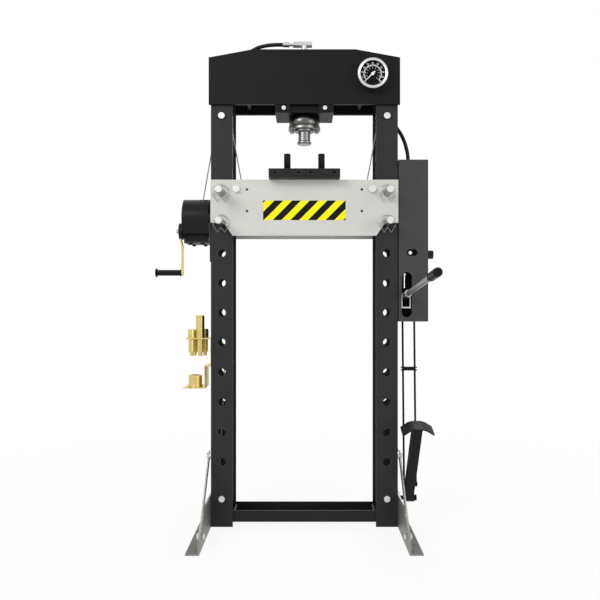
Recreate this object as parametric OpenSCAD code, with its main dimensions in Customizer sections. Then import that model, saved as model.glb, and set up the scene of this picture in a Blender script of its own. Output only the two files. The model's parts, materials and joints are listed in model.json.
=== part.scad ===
// Hydraulic shop press: an H frame with a winch-lifted table, a fixed cylinder and a hand and foot pump.
// Millimetres. +Z is up, the operator stands at -Y, and the origin is on the floor between the uprights.

/* [Frame] */
// Clear width between the uprights
clear_w = 552; // [500:1:620]
// Width of an upright, seen from the front
upright_w = 84; // [80:1:96]
// Depth of an upright, front to back
upright_d = 130; // [126:1:150]
// Wall of the uprights
upright_t = 8; // [6:0.5:9]
// Height of the uprights
upright_h = 1800; // [1780:1:1805]
// Height of the base crossbar
crossbar_h = 44; // [36:1:50]
// Underside of the base crossbar above the floor
crossbar_z = 17; // [8:1:22]
// Sheet of the base crossbar
crossbar_t = 5; // [3:0.5:8]

/* [Feet] */
// Length of a foot, front to back
foot_len = 696; // [620:1:760]
// Width of a foot's floor flange
foot_w = 48; // [44:1:60]
// Height of a foot at the upright
foot_h = 125; // [115:1:140]
// Height of a foot at its ends
foot_end_h = 55; // [40:1:70]
// Plate of the feet
foot_t = 6; // [4:0.5:8]
// Diameter of the floor anchor holes
anchor_d = 14; // [10:0.5:16]
// Distance between the floor anchor holes along a foot
anchor_pitch = 354; // [320:1:400]
// Height of the upper ends of the braces
brace_z = 272; // [240:1:300]
// Width of the brace bars
brace_w = 30; // [24:1:34]
// Thickness of the brace bars
brace_t = 5; // [4:0.5:6]

/* [Head] */
// Underside of the head plates above the floor
head_z = 1624; // [1615:1:1640]
// Thickness of the head plates
head_t = 12; // [10:1:14]
// Height of the head plates at the middle
head_h = 211; // [205:1:220]
// Height of the head plates at their ends
head_end_h = 180; // [172:1:186]
// Half width of the flat top edge
head_flat = 197; // [150:1:220]
// Overhang of the head plates past the uprights
head_over = 7; // [4:1:12]
// Diameter of the round bars that tie the head plates
stop_d = 20; // [16:1:24]
// Distance of the round bars from the middle
stop_x = 219; // [212:1:240]
// Section of the rails inside the head
rail_s = 12; // [10:1:13]

/* [Table] */
// Height of the upper pin holes in use
pin_z = 1285; // [1275:1:1295]
// Pitch of the pin holes
pin_pitch = 115; // [110:1:118]
// Rows of pin holes in each upright
pin_rows = 10; // [6:1:10]
// Diameter of the table pins
pin_d = 29.2; // [26:0.1:32]
// Clearance around a table pin
pin_play = 0.4; // [0.35:0.05:1]
// Length of a pin in front of the table
pin_front = 90; // [80:1:110]
// Length of a pin behind the table
pin_rear = 20; // [16:1:40]
// Wire of the pin clips
clip_d = 3; // [2.5:0.5:5]
// Thickness of the table plates
table_t = 12; // [10:1:14]
// Height of the table plates
table_h = 214; // [205:1:225]
// Height of the table top above the upper pins
table_up = 50; // [44:1:56]
// Running gap between table and uprights
table_gap = 1; // [0.8:0.1:2]
// Diameter of the guard screw holes in the table
guard_hole_d = 8.5; // [6:0.5:10]
// Distance between the guard screw holes across the table
guard_w = 440; // [420:1:460]
// Distance between the guard screw holes up the table
guard_h = 83; // [75:1:90]
// Diameter of the table spacers
spacer_d = 40; // [30:1:46]
// Distance of the table spacers from the middle
spacer_x = 190; // [180:1:200]

/* [V blocks] */
// Width of a V block
vee_w = 135; // [125:1:140]
// Depth of a V block
vee_l = 240; // [220:1:260]
// Height of a V block
vee_h = 35; // [30:1:40]
// Depth of the V notch
vee_cut = 46; // [40:1:48]
// Diameter of a V block's post
post_d = 26; // [22:1:28]
// Height of a V block's post
post_h = 66; // [50:1:72]

/* [Cylinder] */
// Width of the cylinder mount
mount_w = 225; // [215:1:235]
// Height of the cylinder mount below the head
mount_h = 31; // [26:1:32]
// Outer diameter of the cylinder
cyl_d = 98; // [94:1:102]
// Diameter of the ram
ram_d = 49; // [44:0.5:52]
// Running clearance of the ram in its gland
ram_play = 0.05; // [0.02:0.01:0.09]
// Diameter of the ram pad
ram_pad_d = 57; // [54:1:62]
// Height of the ram pad above the floor
ram_z = 1487; // [1480:1:1500]
// Diameter of the gland flange
gland_d = 125; // [120:1:135]
// Diameter of the pressure hose
hose_d = 15; // [12:0.5:16]

/* [Gauge] */
// Diameter of the pressure gauge
gauge_d = 115; // [100:1:125]
// Depth of the pressure gauge
gauge_depth = 40; // [34:1:50]
// Distance of the gauge from the right upright's outer face
gauge_in = 101; // [90:1:110]
// Height of the gauge above the underside of the head
gauge_up = 108; // [95:1:112]

/* [Table lift] */
// Height of the upper sheaves
sheave_z = 1582; // [1572:1:1590]
// Height of the lower sheaves
lower_sheave_z = 110; // [106:1:120]
// Pitch radius of the sheaves
sheave_r = 25; // [22:0.5:26]
// Diameter of the sheave axles
axle_d = 14; // [12:0.5:16]
// Running clearance of axles and winch shafts
shaft_play = 0.05; // [0.02:0.01:0.09]
// Diameter of the wire ropes
rope_d = 5; // [4:0.5:6]
// Distance of the rope anchors from the uprights
rope_anchor_in = 16; // [14:1:26]

/* [Winch] */
// Height of the drum's axis
drum_z = 1189; // [1180:1:1198]
// Diameter of the winch cover
cover_d = 160; // [158:1:168]
// Length of the winch cover
cover_l = 102; // [98:1:110]
// Wall of the winch cover
cover_t = 3; // [2:0.5:4]
// Module of the winch gears
gear_m = 2.5; // [2.4:0.1:2.6]
// Teeth of the drum gear
gear_z = 34; // [32:2:36]
// Teeth of the pinion
pinion_z = 12; // [11:1:13]
// Extra centre distance of the winch gears
gear_play = 0.3; // [0.2:0.05:0.5]
// Radius of the crank
crank_r = 161; // [140:1:180]
// Length of the crank grip
crank_grip_l = 100; // [90:1:120]

/* [Pump] */
// Width of the pump cover
pump_w = 113; // [108:1:125]
// Depth of the pump cover
pump_d = 140; // [136:1:150]
// Height of the pump cover
pump_h = 623; // [600:1:650]
// Underside of the pump cover above the floor
pump_z = 791; // [785:1:800]
// Sheet of the pump cover
pump_t = 2; // [1.5:0.5:3]
// Height of the hand lever's pivot
lever_z = 892; // [886:1:900]
// Diameter of the lever tube
lever_d = 20; // [18:0.5:22]
// Reach of the hand lever from its pivot
lever_l = 620; // [500:1:660]
// Rise of the hand lever at rest, in degrees
lever_rise = 6; // [0:1:10]
// Diameter of the release knob
knob_d = 34; // [28:1:40]
// Height of the release knob
knob_z = 1053; // [1046:1:1060]

/* [Pedal] */
// Height of the pedal's pivot
pedal_z = 94; // [88:1:100]
// Length of the pedal arm from its pivot
pedal_l = 391; // [360:1:420]
// Lean of the pedal arm at rest, in degrees
pedal_lean = 33; // [28:1:36]
// Width of the pedal arm
pedal_w = 36; // [34:1:38]
// Width of the pedal pad
pad_w = 116; // [100:1:124]
// Diameter of the foot rods
foot_rod_d = 8; // [6:0.5:9]

/* [Adapter holder] */
// Height of the holder's lower shelf
holder_z = 531; // [500:1:560]
// Height of the holder
holder_h = 195; // [185:1:210]
// Width of the holder
holder_w = 100; // [90:1:110]
// Reach of the holder from the upright
holder_l = 100; // [98:1:110]
// Sheet of the holder
holder_t = 4; // [3:0.5:5]

/* [Hidden] */
$fn = 48;
in_x = clear_w / 2;
out_x = in_x + upright_w;
pin_x = in_x + upright_w / 2;
face_y = upright_d / 2;
hole_d = pin_d + 2 * pin_play;
lower_pin_z = pin_z - pin_pitch;
table_z = pin_z + table_up;
table_y = face_y + table_gap;
head_y = face_y + head_t;
// Clearance of sliding flat faces
slide_gap = 0.3;
// Clearance of a bolt or rod that only passes through
free_gap = 1;
bolt_d = 12;
head_bolt_d = 25;
head_bolt_h = 10;
rail_up = 60;
rail_z = head_z + rail_up;
mount_y = head_y - 2;
cyl_up = 196;
cyl_top = head_z + cyl_up;
gland_drop = 70;
gland_z = head_z - gland_drop;
ram_up = 150;
ram_top = head_z + ram_up;
ram_bore_top = ram_top + 20;
gauge_x = out_x - gauge_in;
gauge_z = head_z + gauge_up;
sheave_w = 14;
sheave_out = sheave_r + 5;
rope_r = rope_d / 2;
// Room of a rope in its groove
groove_gap = 1.6;
rope_anchor_x = in_x - rope_anchor_in;
// Bars in the base crossbar that lead the rope below its edge
lead_d = 16;
lead_gap = 0.3;
lead_r = lead_d / 2 + rope_r + lead_gap;
low_rope_z = 36;
lead_z = low_rope_z + lead_r;
lead_x = pin_x - (lower_sheave_z - lead_z) + 2 * (sheave_r - lead_r) * sin(45);
hoist_y = -8;
level_y = 8;
anchor_r = 20;
anchor_z = pin_z + 14;
rope_slot_z = 1497;
drum_x = -out_x - 40;
drum_r = 25;
winch_x = -out_x - 6;
shelf_z = drum_z - 88;
gear_cd = gear_m * (gear_z + pinion_z) / 2 + gear_play;
pinion_drop = 48;
pinion_y = -sqrt(gear_cd * gear_cd - pinion_drop * pinion_drop);
pinion_zc = drum_z - pinion_drop;
mesh_angle = atan2(pinion_zc - drum_z, pinion_y);
cheek_t = 5;
cheek_in_x = winch_x - 14;
cheek_out_x = winch_x - cover_l;
gear_w = 12;
gear_x = cheek_out_x + cheek_t + 4;
crank_x = cheek_out_x - cover_t - 13;
crank_t = 6;
crank_jog = 6;
crank_z = pinion_zc - crank_r;
pump_x = out_x + 3;
lever_x = out_x + 32;
lever_y = -50;
lever_pin_arm = 22;
rod_x = lever_x - 19;
block_z = pump_z + 205;
slot_w = 39;
slot_z0 = pump_z + 17;
slot_z1 = pump_z + 190;
pedal_x = out_x + 50;
pedal_t = 4;
pedal_pin_r = 79;
pedal_pin_y = -pedal_pin_r * sin(pedal_lean);
pedal_pin_z = pedal_z + pedal_pin_r * cos(pedal_lean);
rod_top_z = pump_z + 70;
rod_lean = atan2(-pedal_pin_y, rod_top_z - pedal_pin_z);
rod_half = 23;

black = "#262627";
charcoal = "#3a3a3b";
table_grey = "#cfcec9";
zinc = "#c9cbcd";
steel = "#b4b6b8";
gold = "#d8b45a";

pump_top = pump_z + pump_h;
// Height at a share of the way from the pump cover up to the head
function rise(share) = pump_top + share * (head_z + 16 - pump_top);

// Hose route from the pump cover, behind the head and over it to the cylinder
hose_route = [
    [out_x + 52, 20, rise(0.05)], [out_x + 52, 21, rise(0.13)], [out_x + 47, 28, rise(0.29)],
    [out_x + 37, 43, rise(0.47)], [out_x + 20, 63, rise(0.65)], [out_x - 8, 80, rise(0.82)],
    [out_x - 44, 90, rise(1)], [270, 93, 1675], [220, 93, 1698], [160, 93, 1710], [80, 93, 1712], [0, 93, 1712],
    [-80, 93, 1712], [-140, 93, 1718], [-190, 93, 1736], [-230, 93, 1766], [-249, 93, 1803],
    [-248, 86, 1842], [-226, 62, 1868], [-192, 34, 1880], [-157, 12, 1882], [-120, 1, 1882], [-85, 0, 1882]
];

function unit(v) = v / norm(v);
function last(list) = len(list) - 1;
function ahead(path, i) = i == last(path) ? unit(path[i] - path[i - 1]) : unit(path[i + 1] - path[i]);
function behind(path, i) = i == 0 ? ahead(path, 0) : unit(path[i] - path[i - 1]);
function tangent(path, i) = unit(ahead(path, i) + behind(path, i));

// A ring of points around one point of a path that never runs along Y
function ring(path, i, r, sides) =
    let (t = tangent(path, i), s = unit(cross([0, 1, 0], t)), u = cross(t, s))
    [for (k = [0 : sides - 1]) path[i] + r * (cos(360 * k / sides) * u + sin(360 * k / sides) * s)];

// Curve through four route points, at share f between the middle two
function curve(a, b, c, d, f) =
    0.5 * (2 * b + (c - a) * f + (2 * a - 5 * b + 4 * c - d) * f * f + (3 * b - a - 3 * c + d) * f * f * f);
function smooth_route(p, n) = concat(
    [for (i = [0 : last(p) - 1], k = [0 : n - 1])
        curve(p[max(i - 1, 0)], p[i], p[i + 1], p[min(i + 2, last(p))], k / n)],
    [p[last(p)]]
);
function arc_points(x, y, z, r, from, to, n) =
    [for (k = [0 : n]) let (a = from + (to - from) * k / n) [x + r * cos(a), y, z + r * sin(a)]];

// Round tube along a path
module sweep(path, r, sides) {
    n = len(path);
    points = [for (i = [0 : n - 1]) each ring(path, i, r, sides)];
    walls = [for (i = [0 : n - 2], k = [0 : sides - 1])
        let (a = i * sides + k, b = i * sides + (k + 1) % sides)
        each [[a, b, b + sides], [a, b + sides, a + sides]]];
    start = [[for (k = [sides - 1 : -1 : 0]) k]];
    end = [[for (k = [0 : sides - 1]) (n - 1) * sides + k]];
    polyhedron(points, concat(walls, start, end));
}

// Profiles drawn in Y and Z and run along X, or drawn in X and Z and run along Y
module along_x(x0, x1) { translate([x0, 0, 0]) rotate([90, 0, 90]) linear_extrude(x1 - x0) children(); }
module along_y(y0, y1) { translate([0, y1, 0]) rotate([90, 0, 0]) linear_extrude(y1 - y0) children(); }
module bar_x(d, x0, x1, y, z) { translate([x0, y, z]) rotate([0, 90, 0]) cylinder(d = d, h = x1 - x0); }
module bar_y(d, x, y0, y1, z) { translate([x, y1, z]) rotate([90, 0, 0]) cylinder(d = d, h = y1 - y0); }
module bar_z(d, x, y, z0, z1) { translate([x, y, z0]) cylinder(d = d, h = z1 - z0); }
module block(x0, x1, y0, y1, z0, z1) { translate([x0, y0, z0]) cube([x1 - x0, y1 - y0, z1 - z0]); }
module mirrored(side) { mirror([side < 0 ? 1 : 0, 0, 0]) children(); }
module hex_x(af, x0, x1, y, z) {
    translate([x0, y, z]) rotate([0, 90, 0]) cylinder(d = af / cos(30), h = x1 - x0, $fn = 6);
}

module upright(side) {
    mirrored(side) difference() {
        block(in_x, out_x, -face_y, face_y, 0, upright_h);
        block(in_x - 1, out_x - upright_t, upright_t - face_y, face_y - upright_t, -1, upright_h + 1);
        for (row = [0 : pin_rows - 1]) bar_y(hole_d, pin_x, -face_y - 1, face_y + 1, pin_z - row * pin_pitch);
        for (z = [sheave_z, lower_sheave_z]) bar_y(axle_d, pin_x, -face_y - 1, face_y + 1, z);
        if (side < 0) block(out_x - upright_t - 1, out_x + 1, -22, 12, rope_slot_z - 60, rope_slot_z + 60);
    }
}
module left_upright() { color(charcoal) upright(-1); }
module right_upright() { color(charcoal) upright(1); }

module head_plate(y0) {
    end_x = out_x + head_over;
    difference() {
        along_y(y0, y0 + head_t) polygon([
            [-end_x, head_z], [end_x, head_z], [end_x, head_z + head_end_h], [head_flat, head_z + head_h],
            [-head_flat, head_z + head_h], [-end_x, head_z + head_end_h]
        ]);
        for (side = [-1, 1]) bar_y(stop_d, side * stop_x, y0 - 1, y0 + head_t + 1, head_z + 24);
    }
}
module head_front_plate() {
    color(black) difference() {
        head_plate(-head_y);
        bar_y(bolt_d, gauge_x, -head_y - 1, -face_y + 1, gauge_z);
    }
}
module head_rear_plate() { color(black) head_plate(face_y); }

// Rails that carry the cylinder mount and round bars that tie the plates
module head_bars() {
    color(black) for (side = [-1, 1]) {
        bar_y(stop_d, side * stop_x, -head_y, head_y, head_z + 24);
        y0 = side < 0 ? -face_y : face_y - rail_s;
        block(-in_x + 10, in_x - 10, y0, y0 + rail_s, rail_z, rail_z + rail_s);
    }
}

module base_crossbar() {
    end_x = out_x - upright_t;
    half = face_y - upright_t;
    color(black) difference() {
        block(-end_x, end_x, -half, half, crossbar_z, crossbar_z + crossbar_h);
        block(-end_x - 1, end_x + 1, crossbar_t - half, half - crossbar_t, crossbar_z + crossbar_t,
            crossbar_z + crossbar_h + 1);
    }
    color(black) for (side = [-1, 1]) bar_y(lead_d, side * lead_x, crossbar_t - half - 1, half - crossbar_t + 1, lead_z);
}

foot_flat = 200;
module foot(side) {
    half = foot_len / 2;
    mirrored(side) difference() {
        union() {
            along_x(out_x, out_x + foot_t) polygon([
                [-half, 0], [half, 0], [half, foot_end_h], [foot_flat, foot_h], [-foot_flat, foot_h], [-half, foot_end_h]
            ]);
            block(out_x, out_x + foot_w, -half, half, 0, foot_t);
        }
        for (y = [-anchor_pitch / 2, anchor_pitch / 2])
            bar_z(anchor_d, out_x + foot_w / 2, y, -1, foot_t + 1);
        for (front = [-1, 1]) bar_x(bolt_d, out_x - 1, out_x + foot_t + 1, front * brace_low_y, brace_low_z);
    }
}
module left_foot() { color(zinc) foot(-1); }
module right_foot() { color(zinc) foot(1); }

brace_low_y = foot_len / 2 - 68;
brace_low_z = 42;
brace_top_y = face_y - 12;
brace_x = out_x + foot_t;
foot_bolt_y = 38;
foot_bolt_z = 36;
bolt_head_d = 1.6 * bolt_d;
bolt_head_h = 7;
// Flat bars that lean from the uprights down to the ends of the feet
module foot_braces() {
    rise = brace_z - brace_low_z;
    run = brace_low_y - brace_top_y;
    len = norm([rise, run]);
    color(zinc) for (side = [-1, 1], front = [-1, 1]) mirrored(side) difference() {
        translate([brace_x, front * brace_top_y, brace_z]) rotate([front * atan2(run, rise), 0, 0])
            translate([0, -brace_w / 2, -len - brace_w / 2]) cube([brace_t, brace_w, len + brace_w]);
        for (end = [[brace_top_y, brace_z], [brace_low_y, brace_low_z]])
            bar_x(bolt_d, brace_x - 1, brace_x + brace_t + 1, front * end[0], end[1]);
    }
}

// Zinc bolts of the frame: braces, feet and adapter holder, and the screws of the pump's valves
module frame_bolts() {
    color(zinc) {
        for (side = [-1, 1], front = [-1, 1]) mirrored(side) {
            bar_x(bolt_d, out_x, brace_x + brace_t, front * brace_top_y, brace_z);
            bar_x(bolt_head_d + 4, out_x, brace_x, front * brace_top_y, brace_z);
            hex_x(bolt_head_d, brace_x + brace_t, brace_x + brace_t + bolt_head_h, front * brace_top_y, brace_z);
            bar_x(bolt_d, out_x - bolt_head_h, brace_x + brace_t + bolt_head_h, front * brace_low_y, brace_low_z);
            hex_x(bolt_head_d, brace_x + brace_t, brace_x + brace_t + bolt_head_h, front * brace_low_y, brace_low_z);
            hex_x(bolt_head_d, out_x - bolt_head_h, out_x, front * brace_low_y, brace_low_z);
            hex_x(bolt_head_d, brace_x, brace_x + bolt_head_h, front * foot_bolt_y, foot_bolt_z);
        }
        for (y = [-holder_w / 4, holder_w / 4])
            hex_x(bolt_d, -out_x - holder_t - 5, -out_x - holder_t, y, holder_bolt_z);
        bar_y(14, lever_x + 16, -pump_d / 2 + 6, block_y0, knob_z + 3);
        bar_z(9, lever_x - 5, block_y0, lever_z + 28, block_z);
        bar_z(20, lever_x - 5, block_y0, block_z - 26, block_z - 20);
    }
}
module hexagon_z(af, x, y, z0, z1) { translate([x, y, z0]) cylinder(d = af / cos(30), h = z1 - z0, $fn = 6); }

module sheave_axles() {
    color(zinc) for (side = [-1, 1], z = [sheave_z, lower_sheave_z]) {
        bar_y(axle_d, side * pin_x, -face_y - head_bolt_h, face_y + head_bolt_h, z);
        bar_y(head_bolt_d, side * pin_x, -face_y - head_bolt_h, -face_y, z);
        bar_y(head_bolt_d, side * pin_x, face_y, face_y + head_bolt_h, z);
    }
}

// Grooved rope wheel that turns about Y
module sheave(x, y, z) {
    translate([x, y, z]) rotate([90, 0, 0]) rotate_extrude() difference() {
        translate([axle_d / 2 + shaft_play, -sheave_w / 2])
            square([sheave_out - axle_d / 2 - shaft_play, sheave_w]);
        translate([sheave_r, 0]) circle(r = rope_r + groove_gap);
        translate([sheave_r, -rope_r - groove_gap]) square([sheave_out, rope_d + 2 * groove_gap]);
    }
}
module top_left_sheave() { color(steel) sheave(-pin_x, hoist_y, sheave_z); }
module top_right_sheave() { color(steel) sheave(pin_x, level_y, sheave_z); }
module bottom_left_sheave() { color(steel) sheave(-pin_x, level_y, lower_sheave_z); }
module bottom_right_sheave() { color(steel) sheave(pin_x, level_y, lower_sheave_z); }

// From the winch drum over the upper left sheave down to the table
module hoist_rope() {
    color(steel) sweep(concat(
        [[drum_x - 8, -drum_r - rope_d, drum_z]],
        arc_points(-pin_x, hoist_y, sheave_z, sheave_r, 171, 10, 10),
        arc_points(-rope_anchor_x, hoist_y, anchor_z, anchor_r, 10, -150, 8)
    ), rope_r, 8);
}
// Keeps the table level: over the upper right sheave, round the base and up to the table's left end
module levelling_rope() {
    color(steel) sweep(concat(
        arc_points(rope_anchor_x, level_y, anchor_z, anchor_r, -30, -190, 8),
        arc_points(pin_x, level_y, sheave_z, sheave_r, 170, 0, 10),
        arc_points(pin_x, level_y, lower_sheave_z, sheave_r, 0, -45, 4),
        arc_points(lead_x, level_y, lead_z, lead_r, -45, -90, 3),
        arc_points(-lead_x, level_y, lead_z, lead_r, -90, -135, 3),
        arc_points(-pin_x, level_y, lower_sheave_z, sheave_r, -135, -178, 4),
        arc_points(-rope_anchor_x, level_y, anchor_z, anchor_r, 178, 40, 8)
    ), rope_r, 8);
}
// Spools between the table plates, held by bolts with round heads
module rope_anchors() {
    color(zinc) for (side = [-1, 1]) {
        x = side * rope_anchor_x;
        bar_y(anchor_bolt_d, x, -table_y - table_t, table_y + table_t, anchor_z);
        for (end = [-1, 1]) {
            y = end * (table_y + table_t + head_bolt_h / 2);
            bar_y(head_bolt_d + 2, x, y - head_bolt_h / 2, y + head_bolt_h / 2, anchor_z);
        }
        spool_y = face_y - upright_t - 2;
        bar_y(2 * (anchor_r - rope_r - spool_gap), x, -spool_y, spool_y, anchor_z);
    }
}
anchor_bolt_d = 16;
spool_gap = 0.5;

// The front and rear plates of the table, with notches that sit on the lower pins
module table_plate(y0) {
    low = table_z - table_h;
    difference() {
        along_y(y0, y0 + table_t) polygon([
            [-out_x, table_z], [-out_x, lower_pin_z], [-pin_x + 9, lower_pin_z], [-in_x, low],
            [in_x, low], [pin_x - 9, lower_pin_z], [out_x, lower_pin_z], [out_x, table_z]
        ]);
        for (side = [-1, 1]) {
            for (z = [pin_z, lower_pin_z]) bar_y(hole_d, side * pin_x, y0 - 1, y0 + table_t + 1, z);
            bar_y(anchor_bolt_d, side * rope_anchor_x, y0 - 1, y0 + table_t + 1, anchor_z);
        }
    }
}
guard_z = pin_z - 29;
spacer_high = 60;
spacer_low = 170;
module table_front_plate() {
    color(table_grey) difference() {
        table_plate(-table_y - table_t);
        for (x = [-guard_w / 2, guard_w / 2], z = [guard_z - guard_h / 2, guard_z + guard_h / 2])
            bar_y(guard_hole_d, x, -table_y - table_t - 1, -table_y + 1, z);
    }
}
module table_rear_plate() { color(table_grey) table_plate(table_y); }
module table_spacers() {
    color(table_grey) for (side = [-1, 1], drop = [spacer_high, spacer_low])
        bar_y(spacer_d, side * spacer_x, -table_y, table_y, table_z - drop);
}

module v_block(side) {
    mirrored(side) difference() {
        union() {
            block(0, vee_w, -vee_l / 2, vee_l / 2, table_z, table_z + vee_h);
            bar_z(post_d, vee_w / 2, 0, table_z, table_z + vee_h + post_h);
        }
        translate([0, 0, table_z - 1]) linear_extrude(vee_h + 2)
            polygon([[-1, -vee_cut - 1], [vee_cut, 0], [-1, vee_cut + 1]]);
        for (x = [vee_w / 6, vee_w * 5 / 6]) bar_y(8, x, -vee_l / 2 - 1, -vee_l / 2 + 24, table_z + vee_h * 0.58);
    }
}
module left_v_block() { color(black) v_block(-1); }
module right_v_block() { color(black) v_block(1); }

// A table pin along Y, and its wire clip through a cross hole
module table_pin(side, z) {
    face = table_y + table_t;
    clip_y = -face - 8;
    chamfer = 2;
    x = side * pin_x;
    difference() {
        union() {
            bar_y(pin_d, x, -face - pin_front + chamfer, face + pin_rear - chamfer, z);
            translate([x, -face - pin_front + chamfer, z]) rotate([90, 0, 0])
                cylinder(d1 = pin_d, d2 = pin_d - 2 * chamfer, h = chamfer);
            translate([x, face + pin_rear - chamfer, z]) rotate([-90, 0, 0])
                cylinder(d1 = pin_d, d2 = pin_d - 2 * chamfer, h = chamfer);
        }
        bar_x(clip_d + 0.8, x - pin_d, x + pin_d, clip_y, z);
    }
    r = pin_d / 2 + 14;
    wire = concat(
        [[-r + 9, 0, 0], [r - 3, 0, 0]], arc_points(0, 0, 0, r, 8, 172, 10),
        [[-r - 2, 0, -8], [-14, 0, -r - 9], [0, 0, -pin_d / 2 - clip_d], [14, 0, -r - 9], [r + 2, 0, -9]]
    );
    translate([x, clip_y, z]) sweep(wire, clip_d / 2, 8);
}
module pin_upper_left() { color(zinc) table_pin(-1, pin_z); }
module pin_upper_right() { color(zinc) table_pin(1, pin_z); }
module pin_lower_left() { color(zinc) table_pin(-1, lower_pin_z); }
module pin_lower_right() { color(zinc) table_pin(1, lower_pin_z); }

// Holds the cylinder: a plate below the head and a flange that hangs on the rails
module cylinder_mount() {
    half = mount_w / 2;
    rail_top = rail_z + rail_s + slide_gap;
    color(black) difference() {
        union() {
            block(-half, half, -mount_y, mount_y, head_z - mount_h, head_z - slide_gap);
            block(-half, half, rail_s + free_gap - face_y, face_y - rail_s - free_gap, head_z - 1, rail_top + 1);
            block(-half, half, free_gap - face_y, face_y - free_gap, rail_top, rail_top + 14);
        }
        bar_z(cyl_d, 0, 0, head_z - mount_h - 1, rail_top + 20);
        for (end = [-1, 1]) translate([0, end * mount_y, 0]) block(-mount_slot, mount_slot, -12, 12,
            head_z - mount_h + 7, head_z);
    }
}
mount_slot = 55;
mount_screw_x = 79;
mount_screw_d = 16;
module mount_screws() {
    color(zinc) for (x = [-mount_screw_x, mount_screw_x]) difference() {
        bar_y(mount_screw_d, x, -mount_y - 6, -mount_y, head_z - 14);
        translate([x, -mount_y - 2, head_z - 14]) rotate([90, 0, 0]) cylinder(d = 9, h = 5, $fn = 6);
    }
}

piston_d = 72;
module cylinder_body() {
    color(zinc) difference() {
        bar_z(cyl_d, 0, 0, gland_z, cyl_top);
        bar_z(piston_d + 2 * ram_play, 0, 0, gland_z - 1, ram_bore_top);
        bar_z(10, 0, 0, ram_bore_top - 1, cyl_top + 1);
    }
}
gland_h = 18;
collar_d = cyl_d + 8;
collar_h = 11;
nose_d = 74;
ear_w = 20;
// Collar and nose that guide the ram, with two ears and their bolts
module cylinder_gland() {
    color(steel) difference() {
        union() {
            bar_z(collar_d, 0, 0, gland_z - collar_h, gland_z);
            block(-gland_d / 2, gland_d / 2, -ear_w / 2, ear_w / 2, gland_z - collar_h - 3, gland_z);
            bar_z(nose_d, 0, 0, gland_z - gland_h, gland_z);
            for (x = [-1, 1]) hexagon_z(13, x * (gland_d / 2 - 13), 0, gland_z - collar_h - 12, gland_z - collar_h);
        }
        bar_z(ram_d + 2 * ram_play, 0, 0, gland_z - gland_h - 1, gland_z + 1);
    }
}
pad_h = 18;
module ram() {
    color(steel) difference() {
        union() {
            bar_z(ram_d, 0, 0, ram_z + pad_h, ram_top);
            bar_z(piston_d, 0, 0, ram_top - 30, ram_top);
        }
        for (z = [7, 15]) translate([0, 0, ram_z + pad_h + z]) rotate_extrude()
            translate([ram_d / 2 - 1.5, 0]) square([3, 3]);
    }
}
module ram_pad() {
    color(steel) translate([0, 0, ram_z]) rotate_extrude()
        polygon([[0, 0], [ram_pad_d / 2 - 3, 0], [ram_pad_d / 2, 3], [ram_pad_d / 2, 9], [ram_d / 2, 12],
            [ram_d / 2, pad_h], [0, pad_h]]);
}

module hose_elbow() {
    color(zinc) {
        hexagon_z(30, 0, 0, cyl_top, cyl_top + 20);
        bar_z(22, 0, 0, cyl_top, fitting_z);
        bar_x(24, -45, 30, 0, fitting_z);
        bar_x(12, -60, -45, 0, fitting_z);
        bar_x(hose_d + 5, hose_route[last(hose_route)][0] + 0.7, -58, 0, fitting_z);
    }
}
module hydraulic_hose() { color(black) sweep(smooth_route(hose_route, 2), hose_d / 2, 10); }
// Clips on the rear head plate and the gland where the hose leaves the pump cover
module hose_clips() {
    color(black) {
        for (i = [10, 12]) {
            p = hose_route[i];
            difference() {
                union() {
                    bar_x(hose_d + 7, p[0] - 9, p[0] + 9, p[1], p[2]);
                    block(p[0] - 9, p[0] + 9, head_y, p[1], p[2] - 5, p[2] + 5);
                }
                bar_x(hose_d + 1.4, p[0] - 10, p[0] + 10, p[1], p[2]);
            }
        }
        start = hose_route[0];
        difference() {
            bar_z(hose_d + 11, start[0], start[1], pump_top, start[2]);
            bar_z(hose_d + 1, start[0], start[1], start[2] - 0.9, start[2] + 1);
        }
    }
}

bezel = 10;
gauge_y = -head_y - gauge_depth;
module gauge_case() {
    color(zinc) translate([gauge_x, -head_y, gauge_z]) rotate([90, 0, 0]) {
        rotate_extrude() polygon([
            [0, 0], [gauge_d / 2 - 6, 0], [gauge_d / 2 - 6, gauge_depth - 14], [gauge_d / 2, gauge_depth - 12],
            [gauge_d / 2, gauge_depth - 3], [gauge_d / 2 - 4, gauge_depth], [gauge_d / 2 - bezel, gauge_depth - 2],
            [gauge_d / 2 - bezel, gauge_depth - 16], [0, gauge_depth - 16]
        ]);
        translate([0, 0, -head_t - 8]) cylinder(d = bolt_d, h = head_t + 9);
    }
}
module gauge_dial() {
    color(black) bar_y(gauge_d - 2 * bezel - 1, gauge_x, gauge_y + 14, gauge_y + 16, gauge_z);
}
module gauge_needle() {
    length = gauge_d / 2 - bezel - 8;
    color("white") translate([gauge_x, gauge_y + 13.5, gauge_z]) rotate([90, 0, 0]) {
        cylinder(d = 12, h = 4);
        rotate(225) translate([0, 0, 2]) linear_extrude(1.5)
            polygon([[-12, -2.5], [-12, 2.5], [0, 2.5], [length, 0.6], [length, -0.6], [0, -2.5]]);
    }
}
module gauge_lens() {
    color("lightblue", 0.3) bar_y(gauge_d - 2 * bezel - 1, gauge_x, gauge_y + 4, gauge_y + 7, gauge_z);
}

shelf_t = 6;
shelf_y = 55;
bracket_low = shelf_z - 79;
bracket_high = drum_z + 61;
// Plate on the upright with the shelf that the winch stands on
module winch_bracket() {
    color(charcoal) {
        block(winch_x, -out_x, -shelf_y, shelf_y, bracket_low, bracket_high);
        block(winch_x - cover_l + 2, winch_x + 1, -shelf_y, shelf_y, shelf_z - shelf_t, shelf_z);
    }
}
drum_shaft_d = 20;
pinion_shaft_d = 14;
cheek_y = 38;
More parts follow.
